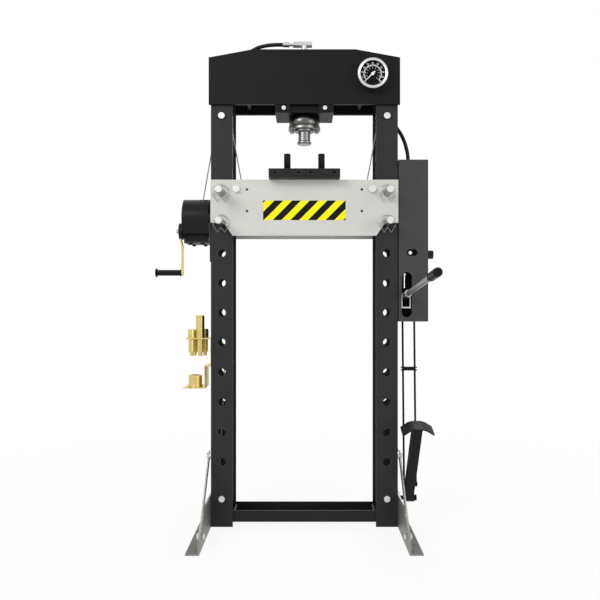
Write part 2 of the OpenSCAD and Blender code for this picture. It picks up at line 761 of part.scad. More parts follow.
// Base and two cheeks that carry the drum and the pinion shaft
module winch_frame() {
    color(black) difference() {
        union() {
            for (x = [cheek_in_x, cheek_out_x]) along_x(x, x + cheek_t) {
                polygon([[-cheek_y, shelf_z], [cheek_y, shelf_z], [cheek_y, shelf_z + 34], [26, drum_z],
                    [-26, drum_z], [-cheek_y, shelf_z + 34]]);
                translate([0, drum_z]) circle(r = 26);
                translate([pinion_y, pinion_zc]) circle(r = 15);
            }
            block(cheek_out_x, cheek_in_x + cheek_t, -cheek_y, cheek_y, shelf_z, shelf_z + cheek_t);
            block(cheek_out_x, cheek_in_x + cheek_t, -cheek_y, cheek_t - cheek_y, shelf_z, shelf_z + web_h);
        }
        bar_x(drum_shaft_d + 2 * shaft_play, cheek_out_x - 1, cheek_in_x + 9, 0, drum_z);
        bar_x(pinion_shaft_d + 2 * shaft_play, cheek_out_x - 1, cheek_in_x + 9, pinion_y, pinion_zc);
    }
    color(black) for (x = [winch_x - 30, winch_x - 76], y = [-shelf_bolt_y, shelf_bolt_y])
        hexagon_z(13, x, y, shelf_z - shelf_t - 6, shelf_z - shelf_t);
}
web_h = 20;
shelf_bolt_y = 40;
cover_cut = 66;
// Drum-shaped cover, open below for the frame and slotted on top for the rope
module winch_cover() {
    color(black) difference() {
        bar_x(cover_d, cheek_out_x - cover_t, winch_x - 3, 0, drum_z);
        bar_x(cover_d - 2 * cover_t, cheek_out_x, winch_x, 0, drum_z);
        block(cheek_out_x - 9, winch_x, -cover_d, cover_d, drum_z - cover_d, drum_z - cover_cut);
        block(drum_x - 6, drum_x + 26, -drum_r - 14, -6, drum_z, drum_z + cover_d);
        bar_x(pinion_shaft_d + 16, cheek_out_x - 9, cheek_out_x + 1, pinion_y, pinion_zc);
    }
}

// Involute gear outline with thinned teeth
function roll(r, base) = let (t = sqrt(max(0, pow(r / base, 2) - 1))) t * 180 / PI - atan(t);
function half_tooth(r, pitch, teeth) =
    let (base = pitch * cos(20)) 90 / teeth - 0.35 + roll(pitch, base) - roll(max(r, base), base);
module gear(teeth, tip) {
    pitch = gear_m * teeth / 2;
    radii = [pitch - 1.35 * gear_m, pitch * cos(20) + 0.02, pitch, pitch + tip * gear_m];
    polygon([for (i = [0 : teeth - 1], s = [-1, 1], k = s < 0 ? [0, 1, 2, 3] : [3, 2, 1, 0])
        let (r = radii[k], a = 360 * i / teeth + s * half_tooth(r, pitch, teeth)) [r * cos(a), r * sin(a)]]);
}

drum_flange_r = 45;
coil_x0 = gear_x + gear_w + 4;
coil_x1 = cheek_in_x - 8;
// Drum with its rope turns and its gear
module winch_drum() {
    turns = floor((coil_x1 - coil_x0) / rope_d);
    color(steel) {
        translate([coil_x0 - 4, 0, drum_z]) rotate([0, 90, 0]) rotate_extrude() {
            square([drum_flange_r, 4]);
            square([drum_r - rope_r, coil_x1 - coil_x0 + 8]);
            translate([0, coil_x1 - coil_x0 + 4]) square([drum_flange_r, 4]);
            for (i = [0 : turns - 1]) translate([drum_r - rope_r, 4 + rope_r + i * rope_d]) circle(r = rope_r);
        }
        translate([0, 0, drum_z]) rotate([mesh_angle, 0, 0]) along_x(gear_x, gear_x + gear_w + 0.5) gear(gear_z, 0.9);
        bar_x(drum_shaft_d, cheek_out_x + 0.3, cheek_in_x + cheek_t + 3, 0, drum_z);
    }
}
hub_d = 64;
hub_t = 2;
// Pinion shaft with the hub that clasps the crank, and its nut
module winch_pinion() {
    color(black) difference() {
        union() {
            translate([0, pinion_y, pinion_zc]) rotate([mesh_angle + 180 + 180 / pinion_z, 0, 0])
                along_x(gear_x, gear_x + gear_w) gear(pinion_z, 0.9);
            bar_x(pinion_shaft_d, crank_x - hub_t, cheek_in_x + cheek_t + 3, pinion_y, pinion_zc);
            bar_x(hub_d, crank_x - hub_t, cheek_out_x - cover_t - 1, pinion_y, pinion_zc);
            hex_x(13, crank_x - hub_t - 12, crank_x, pinion_y, pinion_zc);
        }
        difference() {
            crank_blade();
            bar_x(pinion_shaft_d, crank_x - 1, crank_x + crank_t + 1, pinion_y, pinion_zc);
        }
    }
}
crank_w = 25;
crank_pin_d = 10;
// Bent flat bar of the crank, without its bore and pin
module crank_blade() {
    jog0 = pinion_zc - hub_d / 2 - 3;
    jog1 = jog0 - 26;
    bar_x(crank_w + 8, crank_x, crank_x + crank_t, pinion_y, pinion_zc);
    along_y(pinion_y - crank_w / 2, pinion_y + crank_w / 2) polygon([
        [crank_x, pinion_zc], [crank_x, jog0], [crank_x + crank_jog, jog1],
        [crank_x + crank_jog, crank_z], [crank_x + crank_jog + crank_t, crank_z],
        [crank_x + crank_jog + crank_t, jog1], [crank_x + crank_t, jog0], [crank_x + crank_t, pinion_zc]
    ]);
    bar_x(crank_w, crank_x + crank_jog, crank_x + crank_jog + crank_t, pinion_y, crank_z);
}
// The crank with the grip's pin
module crank_arm() {
    color(gold) difference() {
        union() {
            crank_blade();
            bar_x(crank_pin_d, grip_end_x + 5, crank_x + crank_jog + 1, pinion_y, crank_z);
        }
        bar_x(pinion_shaft_d, crank_x - 1, crank_x + crank_t + 1, pinion_y, pinion_zc);
    }
}
grip_end_x = crank_x + crank_jog - 1 - crank_grip_l;
// Turning grip with a closed end
module crank_grip() {
    x1 = crank_x + crank_jog - 1;
    color(black) difference() {
        union() {
            bar_x(23, grip_end_x, x1, pinion_y, crank_z);
            bar_x(34, grip_end_x, grip_end_x + 6, pinion_y, crank_z);
            bar_x(27, x1 - 5, x1, pinion_y, crank_z);
        }
        bar_x(crank_pin_d + 2 * shaft_play, grip_end_x + 4, x1 + 1, pinion_y, crank_z);
    }
}

// Each adapter: place, diameter and height above the shelf, diameter below it and length below it
adapters = [
    [-82, -20, 28, 34, 24, 56], [-48, -20, 33, 88, 27, 56], [-76, 22, 28, 30, 24, 58], [-36, 24, 28, 34, 24, 58]
];
holder_step = 24;
holder_lip = 10;
holder_knee = 89;
shelf_top = holder_z + holder_h;
holder_bolt_z = (holder_z + holder_knee + shelf_top) / 2;
// One folded sheet: lower shelf, riser, ledge back to the upright, flange and upper shelf
module adapter_holder() {
    color(gold) difference() {
        along_y(-holder_w / 2, holder_w / 2) polygon([for (p = [
            [holder_l + holder_lip, 0], [holder_step, 0], [holder_step, holder_knee - holder_t],
            [0, holder_knee - holder_t], [0, holder_h], [holder_l, holder_h], [holder_l, holder_h - holder_t],
            [holder_t, holder_h - holder_t], [holder_t, holder_knee], [holder_step + holder_t, holder_knee],
            [holder_step + holder_t, holder_t], [holder_l + holder_lip, holder_t]
        ]) [-out_x - p[0], holder_z + p[1]]]);
        for (a = adapters) bar_z(a[4] + 1, -out_x + a[0], a[1], shelf_top - holder_t - 1, shelf_top + 1);
    }
}
ring_d = 52;
ring_h = 46;
ring_x = -out_x - 67;
ring_y = -18;
// Stepped press pins in the upper shelf and a ring on the lower one
module press_adapters() {
    color(gold) {
        for (a = adapters) translate([-out_x + a[0], a[1], shelf_top]) {
            cylinder(d = a[2], h = a[3] - 3);
            translate([0, 0, a[3] - 3]) cylinder(d1 = a[2], d2 = a[2] - 4, h = 3);
            translate([0, 0, -a[5]]) cylinder(d = a[4], h = a[5]);
            translate([0, 0, -a[5] - 15]) cylinder(d = a[4] - 10, h = 16);
        }
        translate([ring_x, ring_y, holder_z + holder_t]) difference() {
            union() {
                cylinder(d = ring_d, h = ring_h - 3);
                translate([0, 0, ring_h - 3]) cylinder(d1 = ring_d, d2 = ring_d - 6, h = 3);
                cylinder(d = ring_d + 4, h = 8);
            }
            translate([0, 0, -1]) cylinder(d = ring_d - 18, h = ring_h + 2);
        }
    }
}

fitting_z = hose_route[last(hose_route)][2];
pump_end = pump_x + pump_w;
block_y0 = -45;
block_h = 114;
tank_d = 84;
knob_shaft_d = 12;
plunger_d = 16;
rod_y = lever_y + lever_pin_arm;

// Upright slot with round ends in the front of the pump cover, or a level one
module slot_y(x0, x1, z0, z1) {
    r = min(x1 - x0, z1 - z0) / 2;
    along_y(-pump_d / 2 - 1, -pump_d / 2 + pump_t + 1) {
        for (end = [[x0 + r, z0 + r], [x1 - r, z1 - r]]) translate(end) circle(r = r);
        if (x1 - x0 > z1 - z0) translate([x0 + r, z0]) square([x1 - x0 - 2 * r, z1 - z0]);
        else translate([x0, z0 + r]) square([x1 - x0, z1 - z0 - 2 * r]);
    }
}
// Folded sheet cover, open towards the upright
module pump_cover() {
    half = pump_d / 2;
    color(charcoal) difference() {
        block(pump_x, pump_end, -half, half, pump_z, pump_z + pump_h);
        block(pump_x - 1, pump_end - pump_t, pump_t - half, half - pump_t, pump_z + pump_t, pump_z + pump_h - pump_t);
        slot_y(lever_x + 1.5 - slot_w / 2, lever_x + 1.5 + slot_w / 2, slot_z0, slot_z1);
        slot_y(lever_x + 2, lever_x + 42, knob_z - 9, knob_z + 16);
        bar_x(knob_shaft_d + 4, pump_end - 9, pump_end + 1, 0, knob_z);
        bar_z(hose_d, hose_route[0][0], hose_route[0][1], pump_z + pump_h - 9, pump_z + pump_h + 1);
        for (side = [-1, 1])
            block(pedal_x + side * rod_half - 7, pedal_x + side * rod_half + 7, -20, 24, pump_z - 1, pump_z + pump_t + 1);
    }
}
// Pump body and oil tank on a plate that is bolted to the upright
module pump_block() {
    color(steel) difference() {
        union() {
            block(out_x, pump_x, pump_t - pump_d / 2, pump_d / 2 - pump_t, pump_z + pump_t, pump_z + pump_h - pump_t);
            block(pump_x - 1, pump_end - 21, block_y0, 45, block_z, block_z + block_h);
            bar_z(tank_d, pump_x + 49, 0, block_z + block_h - 1, pump_z + pump_h - 40);
            bar_z(plunger_d + 6, rod_x, rod_y, block_z - 14, block_z + 1);
        }
        bar_z(plunger_d + 2 * shaft_play, rod_x, rod_y, block_z - 15, block_z + 70);
        bar_x(knob_shaft_d + 2 * shaft_play, pump_end - 51, pump_end - 20, 0, knob_z);
    }
}
eye_h = 11;
eye_y = 11;
lever_pin_d = 8;
// Plunger with its fork and the slotted eye that the lever socket drives
module pump_rod() {
    color(zinc) difference() {
        union() {
            bar_z(plunger_d, rod_x, rod_y, block_z - 24, block_z + 40);
            bar_z(plunger_d - 4, rod_x, rod_y, lever_z + eye_h - 1, block_z - 20);
            block(rod_x - 6, rod_x + 6, rod_y - eye_y, rod_y + eye_y, lever_z - eye_h, lever_z + eye_h);
        }
        for (y = [-4, 4]) bar_x(lever_pin_d + 2, rod_x - 7, rod_x + 7, rod_y + y, lever_z);
        block(rod_x - 7, rod_x + 7, rod_y - 4, rod_y + 4, lever_z - lever_pin_d / 2 - 1, lever_z + lever_pin_d / 2 + 1);
    }
}
boss_w = 24;
boss_d = 24;
leg_t = 4.5;
leg_in = boss_w / 2 + 2;
leg_foot_z = lever_z - 44;
leg_base_h = 6;
pivot_d = 10;
// Clevis with two spread legs on a foot, and the lever's pivot pin
module lever_bracket() {
    color(zinc) {
        for (side = [-1, 1]) {
            x0 = lever_x + side * (leg_in + leg_t / 2) - leg_t / 2;
            along_x(x0, x0 + leg_t) {
                polygon([[lever_y - 12, leg_foot_z], [lever_y + 10, leg_foot_z], [lever_y + 8, lever_z],
                    [lever_y - 8, lever_z]]);
                translate([lever_y, lever_z]) circle(r = 9);
            }
        }
        bar_x(pivot_d, lever_x - leg_in - 1, lever_x + leg_in + 1, lever_y, lever_z);
        block(pump_x, lever_x + leg_in + leg_t, lever_y - 14, lever_y + 20, leg_foot_z - leg_base_h, leg_foot_z);
    }
}
sleeve_d = lever_d + 7;
sleeve_l = 66;
// Pivot boss with the sleeve for the lever and the pin that drives the pump rod
module lever_socket() {
    color(zinc) difference() {
        union() {
            bar_x(boss_d, lever_x - boss_w / 2, lever_x + boss_w / 2, lever_y, lever_z);
            translate([lever_x, lever_y, lever_z]) rotate([90 - lever_rise, 0, 0]) cylinder(d = sleeve_d, h = sleeve_l);
            block(lever_x - 6, lever_x + 6, lever_y, rod_y, lever_z - 6, lever_z + 6);
            bar_x(12, lever_x - 6, lever_x + 6, rod_y, lever_z);
            bar_x(lever_pin_d, rod_x - 8, lever_x, rod_y, lever_z);
        }
        bar_x(pivot_d + 2 * shaft_play, lever_x - boss_w, lever_x + boss_w, lever_y, lever_z);
        translate([lever_x, lever_y, lever_z]) rotate([90 - lever_rise, 0, 0])
            translate([0, 0, boss_d / 2 + 3]) cylinder(d = lever_d + 0.2, h = sleeve_l);
    }
}
grip_l = 118;
grip_d = 29;
module lever_frame() {
    translate([lever_x, lever_y, lever_z]) rotate([90 - lever_rise, 0, 0]) children();
}
module lever_tube() {
    color(steel) lever_frame() difference() {
        translate([0, 0, boss_d / 2 + 3]) cylinder(d = lever_d, h = lever_l - boss_d / 2 - 9);
        translate([0, 0, boss_d / 2]) cylinder(d = lever_d - 5, h = lever_l);
    }
}
module lever_grip() {
    color(black) lever_frame() difference() {
        union() {
            translate([0, 0, lever_l - grip_l]) cylinder(d = grip_d - 3, h = grip_l - 5);
            for (i = [0 : 9]) translate([0, 0, lever_l - grip_l + 8 + i * 10]) cylinder(d = grip_d, h = 5);
            translate([0, 0, lever_l - 6]) cylinder(d1 = grip_d, d2 = grip_d - 8, h = 6);
        }
        translate([0, 0, lever_l - grip_l - 1]) cylinder(d = lever_d + 0.2, h = grip_l - 4);
    }
}
module release_knob() {
    color(black) difference() {
        union() {
            bar_x(knob_d, pump_end + 2, pump_end + 31, 0, knob_z);
            bar_x(knob_shaft_d, pump_end - 50, pump_end + 3, 0, knob_z);
        }
        for (i = [0 : 11]) {
            a = 30 * i;
            bar_x(5, pump_end + 1, pump_end + 27, knob_d / 2 * cos(a) * 1.04, knob_z + knob_d / 2 * sin(a) * 1.04);
        }
    }
}

pedal_shaft_d = 16;
pedal_pin_d = 10;
module pedal_bracket() {
    color(black) {
        block(out_x + foot_t, out_x + foot_t + 6, -30, 30, pedal_z - 24, pedal_z + 24);
        bar_x(pedal_shaft_d, out_x + foot_t + 5, pedal_x + pedal_w / 2 + 12, 0, pedal_z);
        bar_x(pedal_shaft_d + 8, pedal_x + pedal_w / 2 + 8, pedal_x + pedal_w / 2 + 14, 0, pedal_z);
    }
}
// Channel arm that leans forward, its curved pad and the pin of the foot rods
module foot_pedal() {
    half = pedal_w / 2;
    color(black) translate([pedal_x, 0, pedal_z]) rotate([pedal_lean, 0, 0]) difference() {
        union() {
            difference() {
                block(-half, half, -15, 15, 0, pedal_l - 3);
                block(pedal_t - half, half - pedal_t, pedal_t - 15, 16, 30, pedal_l - 14);
            }
            bar_x(30, -half, half + 5, 0, 0);
            bar_x(pedal_pin_d, -rod_half - 6, rod_half + 6, 0, pedal_pin_r);
            translate([0, 0, pedal_l]) rotate([18 - pedal_lean, 0, 0]) along_y(-34, 30) polygon([
                [-pad_w / 2, -26], [-pad_w / 2 + 26, -5], [-pad_w / 2 + 42, 0], [pad_w / 2 - 42, 0],
                [pad_w / 2 - 26, -5], [pad_w / 2, -22], [pad_w / 2 - 4, -25], [pad_w / 2 - 29, -9],
                [pad_w / 2 - 43, -5], [-pad_w / 2 + 43, -5], [-pad_w / 2 + 29, -9], [-pad_w / 2 + 4, -29]
            ]);
        }
        bar_x(pedal_shaft_d + 2 * shaft_play, -half - 1, half + 6, 0, 0);
    }
}
// Two pull rods from the pedal pin up into the pump cover, tied together half way
module foot_rods() {
    rod_l = norm([pedal_pin_y, rod_top_z - pedal_pin_z]);
    color(black) translate([pedal_x, pedal_pin_y, pedal_pin_z]) rotate([-rod_lean, 0, 0]) difference() {
        union() {
            for (side = [-1, 1]) {
                bar_z(foot_rod_d, side * rod_half, 0, 0, rod_l);
                bar_x(20, side * rod_half - 4, side * rod_half + 4, 0, 0);
            }
            bar_x(foot_rod_d, -rod_half - 4, rod_half + 4, 0, rod_l);
            for (z = [438, 448]) block(-rod_half - 8, rod_half + 8, -6, 6, z, z + 5);
        }
        bar_x(pedal_pin_d + 2 * shaft_play, -rod_half - 9, rod_half + 9, 0, 0);
    }
}

left_upright();
right_upright();
head_front_plate();
head_rear_plate();
head_bars();
base_crossbar();
left_foot();
right_foot();
foot_braces();
frame_bolts();
sheave_axles();
top_left_sheave();
top_right_sheave();
bottom_left_sheave();
bottom_right_sheave();
hoist_rope();
levelling_rope();
rope_anchors();
table_front_plate();
table_rear_plate();
table_spacers();
left_v_block();
right_v_block();
pin_upper_left();
pin_upper_right();
pin_lower_left();
pin_lower_right();
cylinder_mount();
mount_screws();
cylinder_body();
cylinder_gland();
ram();
ram_pad();
hose_elbow();
hydraulic_hose();
hose_clips();
gauge_case();
gauge_dial();
gauge_needle();
gauge_lens();
winch_bracket();
winch_frame();
winch_cover();
winch_drum();
winch_pinion();
crank_arm();
crank_grip();
adapter_holder();
press_adapters();
pump_cover();
pump_block();
pump_rod();
lever_bracket();
lever_socket();
lever_tube();
lever_grip();
release_knob();
pedal_bracket();
foot_pedal();
foot_rods();
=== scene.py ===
# %% [markdown]
# # Hydraulic shop press
# A floor press: two channel uprights, a head that holds the cylinder, a table on four pins, a winch that lifts the
# table, and a pump worked by a lever or a pedal. The construction comes in as fixed solids. This lesson dresses
# them: soft edges, paint and metal finishes, a smooth hose, stranded rope, a printed dial, a striped label and a few
# small pieces.

# %% Load the fixed solids
import json
import math

import bmesh
import bpy
from mathutils import Matrix, Vector

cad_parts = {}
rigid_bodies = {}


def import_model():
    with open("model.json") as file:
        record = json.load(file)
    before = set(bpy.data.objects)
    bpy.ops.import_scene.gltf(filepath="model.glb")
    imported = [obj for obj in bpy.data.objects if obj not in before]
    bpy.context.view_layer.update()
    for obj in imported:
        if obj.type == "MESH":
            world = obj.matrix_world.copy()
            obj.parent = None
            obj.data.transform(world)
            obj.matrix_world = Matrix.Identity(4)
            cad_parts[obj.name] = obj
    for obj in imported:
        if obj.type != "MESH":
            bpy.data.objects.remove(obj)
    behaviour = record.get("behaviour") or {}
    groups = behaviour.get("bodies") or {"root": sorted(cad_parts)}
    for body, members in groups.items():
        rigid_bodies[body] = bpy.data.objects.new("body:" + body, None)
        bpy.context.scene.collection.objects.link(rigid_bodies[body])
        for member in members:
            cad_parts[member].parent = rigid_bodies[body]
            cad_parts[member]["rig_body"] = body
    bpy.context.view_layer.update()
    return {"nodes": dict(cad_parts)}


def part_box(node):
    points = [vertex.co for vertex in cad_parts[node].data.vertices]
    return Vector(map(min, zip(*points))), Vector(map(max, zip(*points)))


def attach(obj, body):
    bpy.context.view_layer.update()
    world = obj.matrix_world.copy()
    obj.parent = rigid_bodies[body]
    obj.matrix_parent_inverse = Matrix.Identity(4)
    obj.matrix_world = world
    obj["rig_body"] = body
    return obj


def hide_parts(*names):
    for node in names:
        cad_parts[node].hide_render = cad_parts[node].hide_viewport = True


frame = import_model()
nodes = frame["nodes"]
MM = 0.001
print("solids:", len(nodes))

# %% [markdown]
# ## Camera
# The photograph was taken level, from about two and a half metres in front of the uprights and half way up them.
# A level camera keeps the uprights parallel, so no tilt is needed: a tiny sideways shift does the framing.

# %% Camera
CAMERA_PLACE = Vector((0.0, -2.565, 0.874))
LENS_MM = 38.96
SHIFT_X = -0.0073
camera_data = bpy.data.cameras.new("camera")
camera_data.lens = LENS_MM
camera_data.sensor_width = 36.0
camera_data.shift_x = SHIFT_X
camera = bpy.data.objects.new("camera", camera_data)
camera.location = CAMERA_PLACE
camera.rotation_euler = (math.radians(90), 0, 0)
bpy.context.scene.collection.objects.link(camera)
bpy.context.scene.camera = camera
print("camera", tuple(camera.location))

# %% [markdown]
# ## Colours and nodes
# Colours are written as sRGB hex values, as a colour picker shows them, and one function turns them to the linear
# values that shaders use. Another small function adds one shader node with its settings and links.

# %% Helpers for materials
def linear(code):
    """Linear RGBA from an sRGB hex value."""
    channels = [int(code[i:i + 2], 16) / 255 for i in (1, 3, 5)]
    return [c / 12.92 if c <= 0.04045 else ((c + 0.055) / 1.055) ** 2.4 for c in channels] + [1.0]


def add(tree, kind, inputs=None, **settings):
    """One node with its settings; inputs maps a socket to a value or to the socket that feeds it."""
    node = tree.nodes.new(kind)
    for key, value in settings.items():
        setattr(node, key, value)
    for socket, value in (inputs or {}).items():
        if isinstance(value, bpy.types.NodeSocket):
            tree.links.new(value, node.inputs[socket])
        else:
            node.inputs[socket].default_value = value
    return node


def start_material(name):
    """An empty material and its Principled shader, joined to the output."""
    material = bpy.data.materials.new(name)
    material.use_nodes = True
    tree = material.node_tree
    tree.nodes.clear()
    shader = add(tree, "ShaderNodeBsdfPrincipled")
    add(tree, "ShaderNodeOutputMaterial", {"Surface": shader.outputs["BSDF"]})
    place = add(tree, "ShaderNodeTexCoord").outputs["Object"]
    return material, tree, shader, place


def feed(tree, shader, socket, source):
    tree.links.new(source, shader.inputs[socket])


# %% [markdown]
# ## Powder coat and enamel
# Powder coat is paint that melts on the steel. It leaves a fine orange peel, a ripple about a millimetre wide, which
# breaks up reflections. One function gives the blacks, the charcoal and the table's light grey. The dark coats are
# matt types that hold little shine, so their specular level is low. Only the winch has a glossier black.

# %% Painted finishes
PEEL_MM = 1.4
DUST_MM = 60.0


def paint(name, dark, light, roughness, peel, shine):
    """Orange peel in the bump, and a slow drift of tone and gloss over the panel."""
    material, tree, shader, place = start_material(name)
    drift = add(tree, "ShaderNodeTexNoise", {"Vector": place, "Scale": 1 / (DUST_MM * MM), "Detail": 4.0})
    tone = add(tree, "ShaderNodeMix", {0: drift.outputs["Fac"], 6: linear(dark), 7: linear(light)}, data_type="RGBA")
    gloss = add(tree, "ShaderNodeMapRange", {"Value": drift.outputs["Fac"], "To Min": roughness - 0.05,
                                             "To Max": roughness + 0.07})
    ripple = add(tree, "ShaderNodeTexNoise", {"Vector": place, "Scale": 1 / (PEEL_MM * MM), "Detail": 1.0})
    bump = add(tree, "ShaderNodeBump", {"Height": ripple.outputs["Fac"], "Strength": peel, "Distance": 0.2 * MM})
    shader.inputs["Specular IOR Level"].default_value = shine
    feed(tree, shader, "Base Color", tone.outputs[2])
    feed(tree, shader, "Roughness", gloss.outputs["Result"])
    feed(tree, shader, "Normal", bump.outputs["Normal"])
    return material


black_powder = paint("black_powder_coat", "#121213", "#19191a", 0.44, 0.22, 0.12)
satin_powder = paint("satin_black_powder_coat", "#1b1b1c", "#232324", 0.44, 0.22, 0.18)
gloss_powder = paint("gloss_black_powder_coat", "#0e0e0f", "#141415", 0.3, 0.12, 0.18)
charcoal_powder = paint("charcoal_powder_coat", "#232324", "#2d2d2e", 0.46, 0.25, 0.2)
grey_powder = paint("dark_grey_powder_coat", "#363637", "#404041", 0.46, 0.22, 0.25)
table_enamel = paint("light_grey_enamel", "#c9c8c3", "#d3d2cd", 0.36, 0.12, 0.4)

# %% [markdown]
# ## Plated and turned metal
# Bright zinc is a thin electroplate: silver with a faint mottle. Yellow zinc is the same plate passivated in a bath
# that leaves it gold in lighter and darker patches. The feet are hot-dip galvanised, which is duller and darker. The
# ram and cylinder were turned on a lathe, so they carry fine rings.

# %% Metal finishes
MOTTLE_MM = 14.0
TURNING_MM = 1.6


def plated(name, dark, light, roughness):
    """Metal whose tint and gloss drift in patches, with a hint of rolled steel under the plate."""
    material, tree, shader, place = start_material(name)
    patches = add(tree, "ShaderNodeTexNoise", {"Vector": place, "Scale": 1 / (MOTTLE_MM * MM), "Detail": 5.0})
    tone = add(tree, "ShaderNodeMix", {0: patches.outputs["Fac"], 6: linear(dark), 7: linear(light)}, data_type="RGBA")
    gloss = add(tree, "ShaderNodeMapRange", {"Value": patches.outputs["Fac"], "To Min": roughness + 0.1,
                                             "To Max": roughness - 0.06})
    bump = add(tree, "ShaderNodeBump", {"Height": patches.outputs["Fac"], "Strength": 0.08, "Distance": 0.3 * MM})
    shader.inputs["Metallic"].default_value = 1.0
    feed(tree, shader, "Base Color", tone.outputs[2])
    feed(tree, shader, "Roughness", gloss.outputs["Result"])
    feed(tree, shader, "Normal", bump.outputs["Normal"])
    return material


def turned(name, colour, roughness, direction):
    """Metal with lathe rings across the given axis, drawn coarser than real ones so that they show."""
    material, tree, shader, place = start_material(name)
    rings = add(tree, "ShaderNodeTexWave", {"Vector": place, "Scale": 1 / (6.28 * TURNING_MM * MM), "Distortion": 0.6,
                                            "Detail": 1.0}, wave_type="BANDS", bands_direction=direction)
    gloss = add(tree, "ShaderNodeMapRange", {"Value": rings.outputs["Fac"], "To Min": roughness - 0.05,
                                             "To Max": roughness + 0.08})
    bump = add(tree, "ShaderNodeBump", {"Height": rings.outputs["Fac"], "Strength": 0.12, "Distance": 0.1 * MM})
    shader.inputs["Metallic"].default_value = 1.0
    shader.inputs["Base Color"].default_value = linear(colour)
    feed(tree, shader, "Roughness", gloss.outputs["Result"])
    feed(tree, shader, "Normal", bump.outputs["Normal"])
    return material


bright_zinc = plated("bright_zinc_plate", "#b4b5b5", "#d6d6d4", 0.34)
# Polished zinc for the bolts, axles, anchors and screws; on the pins' front ends it is painted highlight.
polished_zinc_and_painted_highlight = plated("polished_zinc_plate_and_painted_highlight", "#d4d4d1", "#f1f1ed", 0.28)
# A darker zinc for the pins and their clips: painted shade.
pin_zinc_painted_shade = plated("zinc_plate_painted_shade", "#8f908f", "#b3b3b1", 0.3)
yellow_zinc = plated("yellow_zinc_plate", "#bfa75c", "#e6d996", 0.33)
galvanised = plated("galvanised_steel", "#82837e", "#969790", 0.52)
# Darker and lighter copies of the galvanised finish: painted shade for the feet's flat legs, painted highlight for
# their cut edges and the braces.
galvanised_painted_shade = plated("galvanised_steel_painted_shade", "#6a6b65", "#7d7e77", 0.55)
galvanised_painted_highlight = plated("galvanised_steel_painted_highlight", "#a6a7a1", "#c6c7c0", 0.42)
polished_bezel = plated("polished_bezel", "#c6c7c8", "#dededd", 0.3)
turned_steel = turned("turned_steel", "#858583", 0.3, "Z")
dark_turned = turned("dark_turned_steel", "#666664", 0.27, "Z")
turned_across = turned("turned_steel_across", "#a9a9a8", 0.36, "Y")
lever_chrome = plated("satin_chrome_tube", "#a5a39f", "#b7b5b1", 0.42)
rope_zinc = plated("galvanised_wire", "#7d7f82", "#9b9da0", 0.45)

# %% [markdown]
# ## Rubber, moulded plastic, print and glass
# The hose is black rubber with a dull, slightly powdery skin, and the grips are smooth black vinyl. The dial is matt
# black with white print. Its cover is clear glass: most light passes straight through, so that the print stays bright.
# The label's stripes are a common warning pattern, drawn by a formula in X and Z.

# %% Other finishes
GRAIN_MM = 2.0


def moulded(name, colour, roughness, grain, shine):
    """Rubber or plastic with the fine grain that its mould left."""
    material, tree, shader, place = start_material(name)
    speckle = add(tree, "ShaderNodeTexNoise", {"Vector": place, "Scale": 1 / (GRAIN_MM * MM), "Detail": 3.0})
    gloss = add(tree, "ShaderNodeMapRange", {"Value": speckle.outputs["Fac"], "To Min": roughness - 0.06,
                                             "To Max": roughness + 0.08})
    bump = add(tree, "ShaderNodeBump", {"Height": speckle.outputs["Fac"], "Strength": grain, "Distance": 0.2 * MM})
    shader.inputs["Base Color"].default_value = linear(colour)
    shader.inputs["Specular IOR Level"].default_value = shine
    feed(tree, shader, "Roughness", gloss.outputs["Result"])
    feed(tree, shader, "Normal", bump.outputs["Normal"])
    return material


def clear_glass(name):
    material, tree, shader, place = start_material(name)
    smear = add(tree, "ShaderNodeTexNoise", {"Vector": place, "Scale": 1 / (DUST_MM * MM), "Detail": 2.0})
    gloss = add(tree, "ShaderNodeMapRange", {"Value": smear.outputs["Fac"], "To Min": 0.02, "To Max": 0.06})
    shader.inputs["Base Color"].default_value = linear("#ffffff")
    shader.inputs["Transmission Weight"].default_value = 1.0
    shader.inputs["IOR"].default_value = 1.45
    shader.inputs["Alpha"].default_value = 0.06
    feed(tree, shader, "Roughness", gloss.outputs["Result"])
    return material


STRIPE_PERIOD = 67.6 * MM
STRIPE_START = 1.3694


def striped(name):
    """Black bands at 45 degrees on yellow: a band wherever the fraction of (x - z) / period is under a half."""
    material, tree, shader, place = start_material(name)
    axes = add(tree, "ShaderNodeSeparateXYZ", {"Vector": place})
    lean = add(tree, "ShaderNodeMath", {0: axes.outputs["X"], 1: axes.outputs["Z"]}, operation="SUBTRACT")
    along = add(tree, "ShaderNodeMath", {0: lean.outputs[0], 1: STRIPE_START}, operation="ADD")
    count = add(tree, "ShaderNodeMath", {0: along.outputs[0], 1: STRIPE_PERIOD}, operation="DIVIDE")
    share = add(tree, "ShaderNodeMath", {0: count.outputs[0]}, operation="FRACT")
    band = add(tree, "ShaderNodeMath", {0: share.outputs[0], 1: 0.5}, operation="LESS_THAN")
    tone = add(tree, "ShaderNodeMix", {0: band.outputs[0], 6: linear("#f4ef22"), 7: linear("#0d0c0f")},
               data_type="RGBA")
    feed(tree, shader, "Base Color", tone.outputs[2])
    shader.inputs["Roughness"].default_value = 0.35
    shader.inputs["Specular IOR Level"].default_value = 0.15
    return material


rubber = moulded("black_rubber", "#131314", 0.5, 0.25, 0.25)
grip_vinyl = moulded("grip_vinyl", "#070708", 0.13, 0.04, 0.16)
knob_plastic = moulded("moulded_plastic", "#131314", 0.38, 0.12, 0.25)
dial_black = moulded("dial_matt_black", "#0b0b0c", 0.6, 0.05, 0.08)
dial_white = moulded("dial_white_print", "#f2f2ee", 0.5, 0.03, 0.3)
glass = clear_glass("gauge_glass")
warning_stripes = striped("warning_stripes")
print("materials:", len(bpy.data.materials))

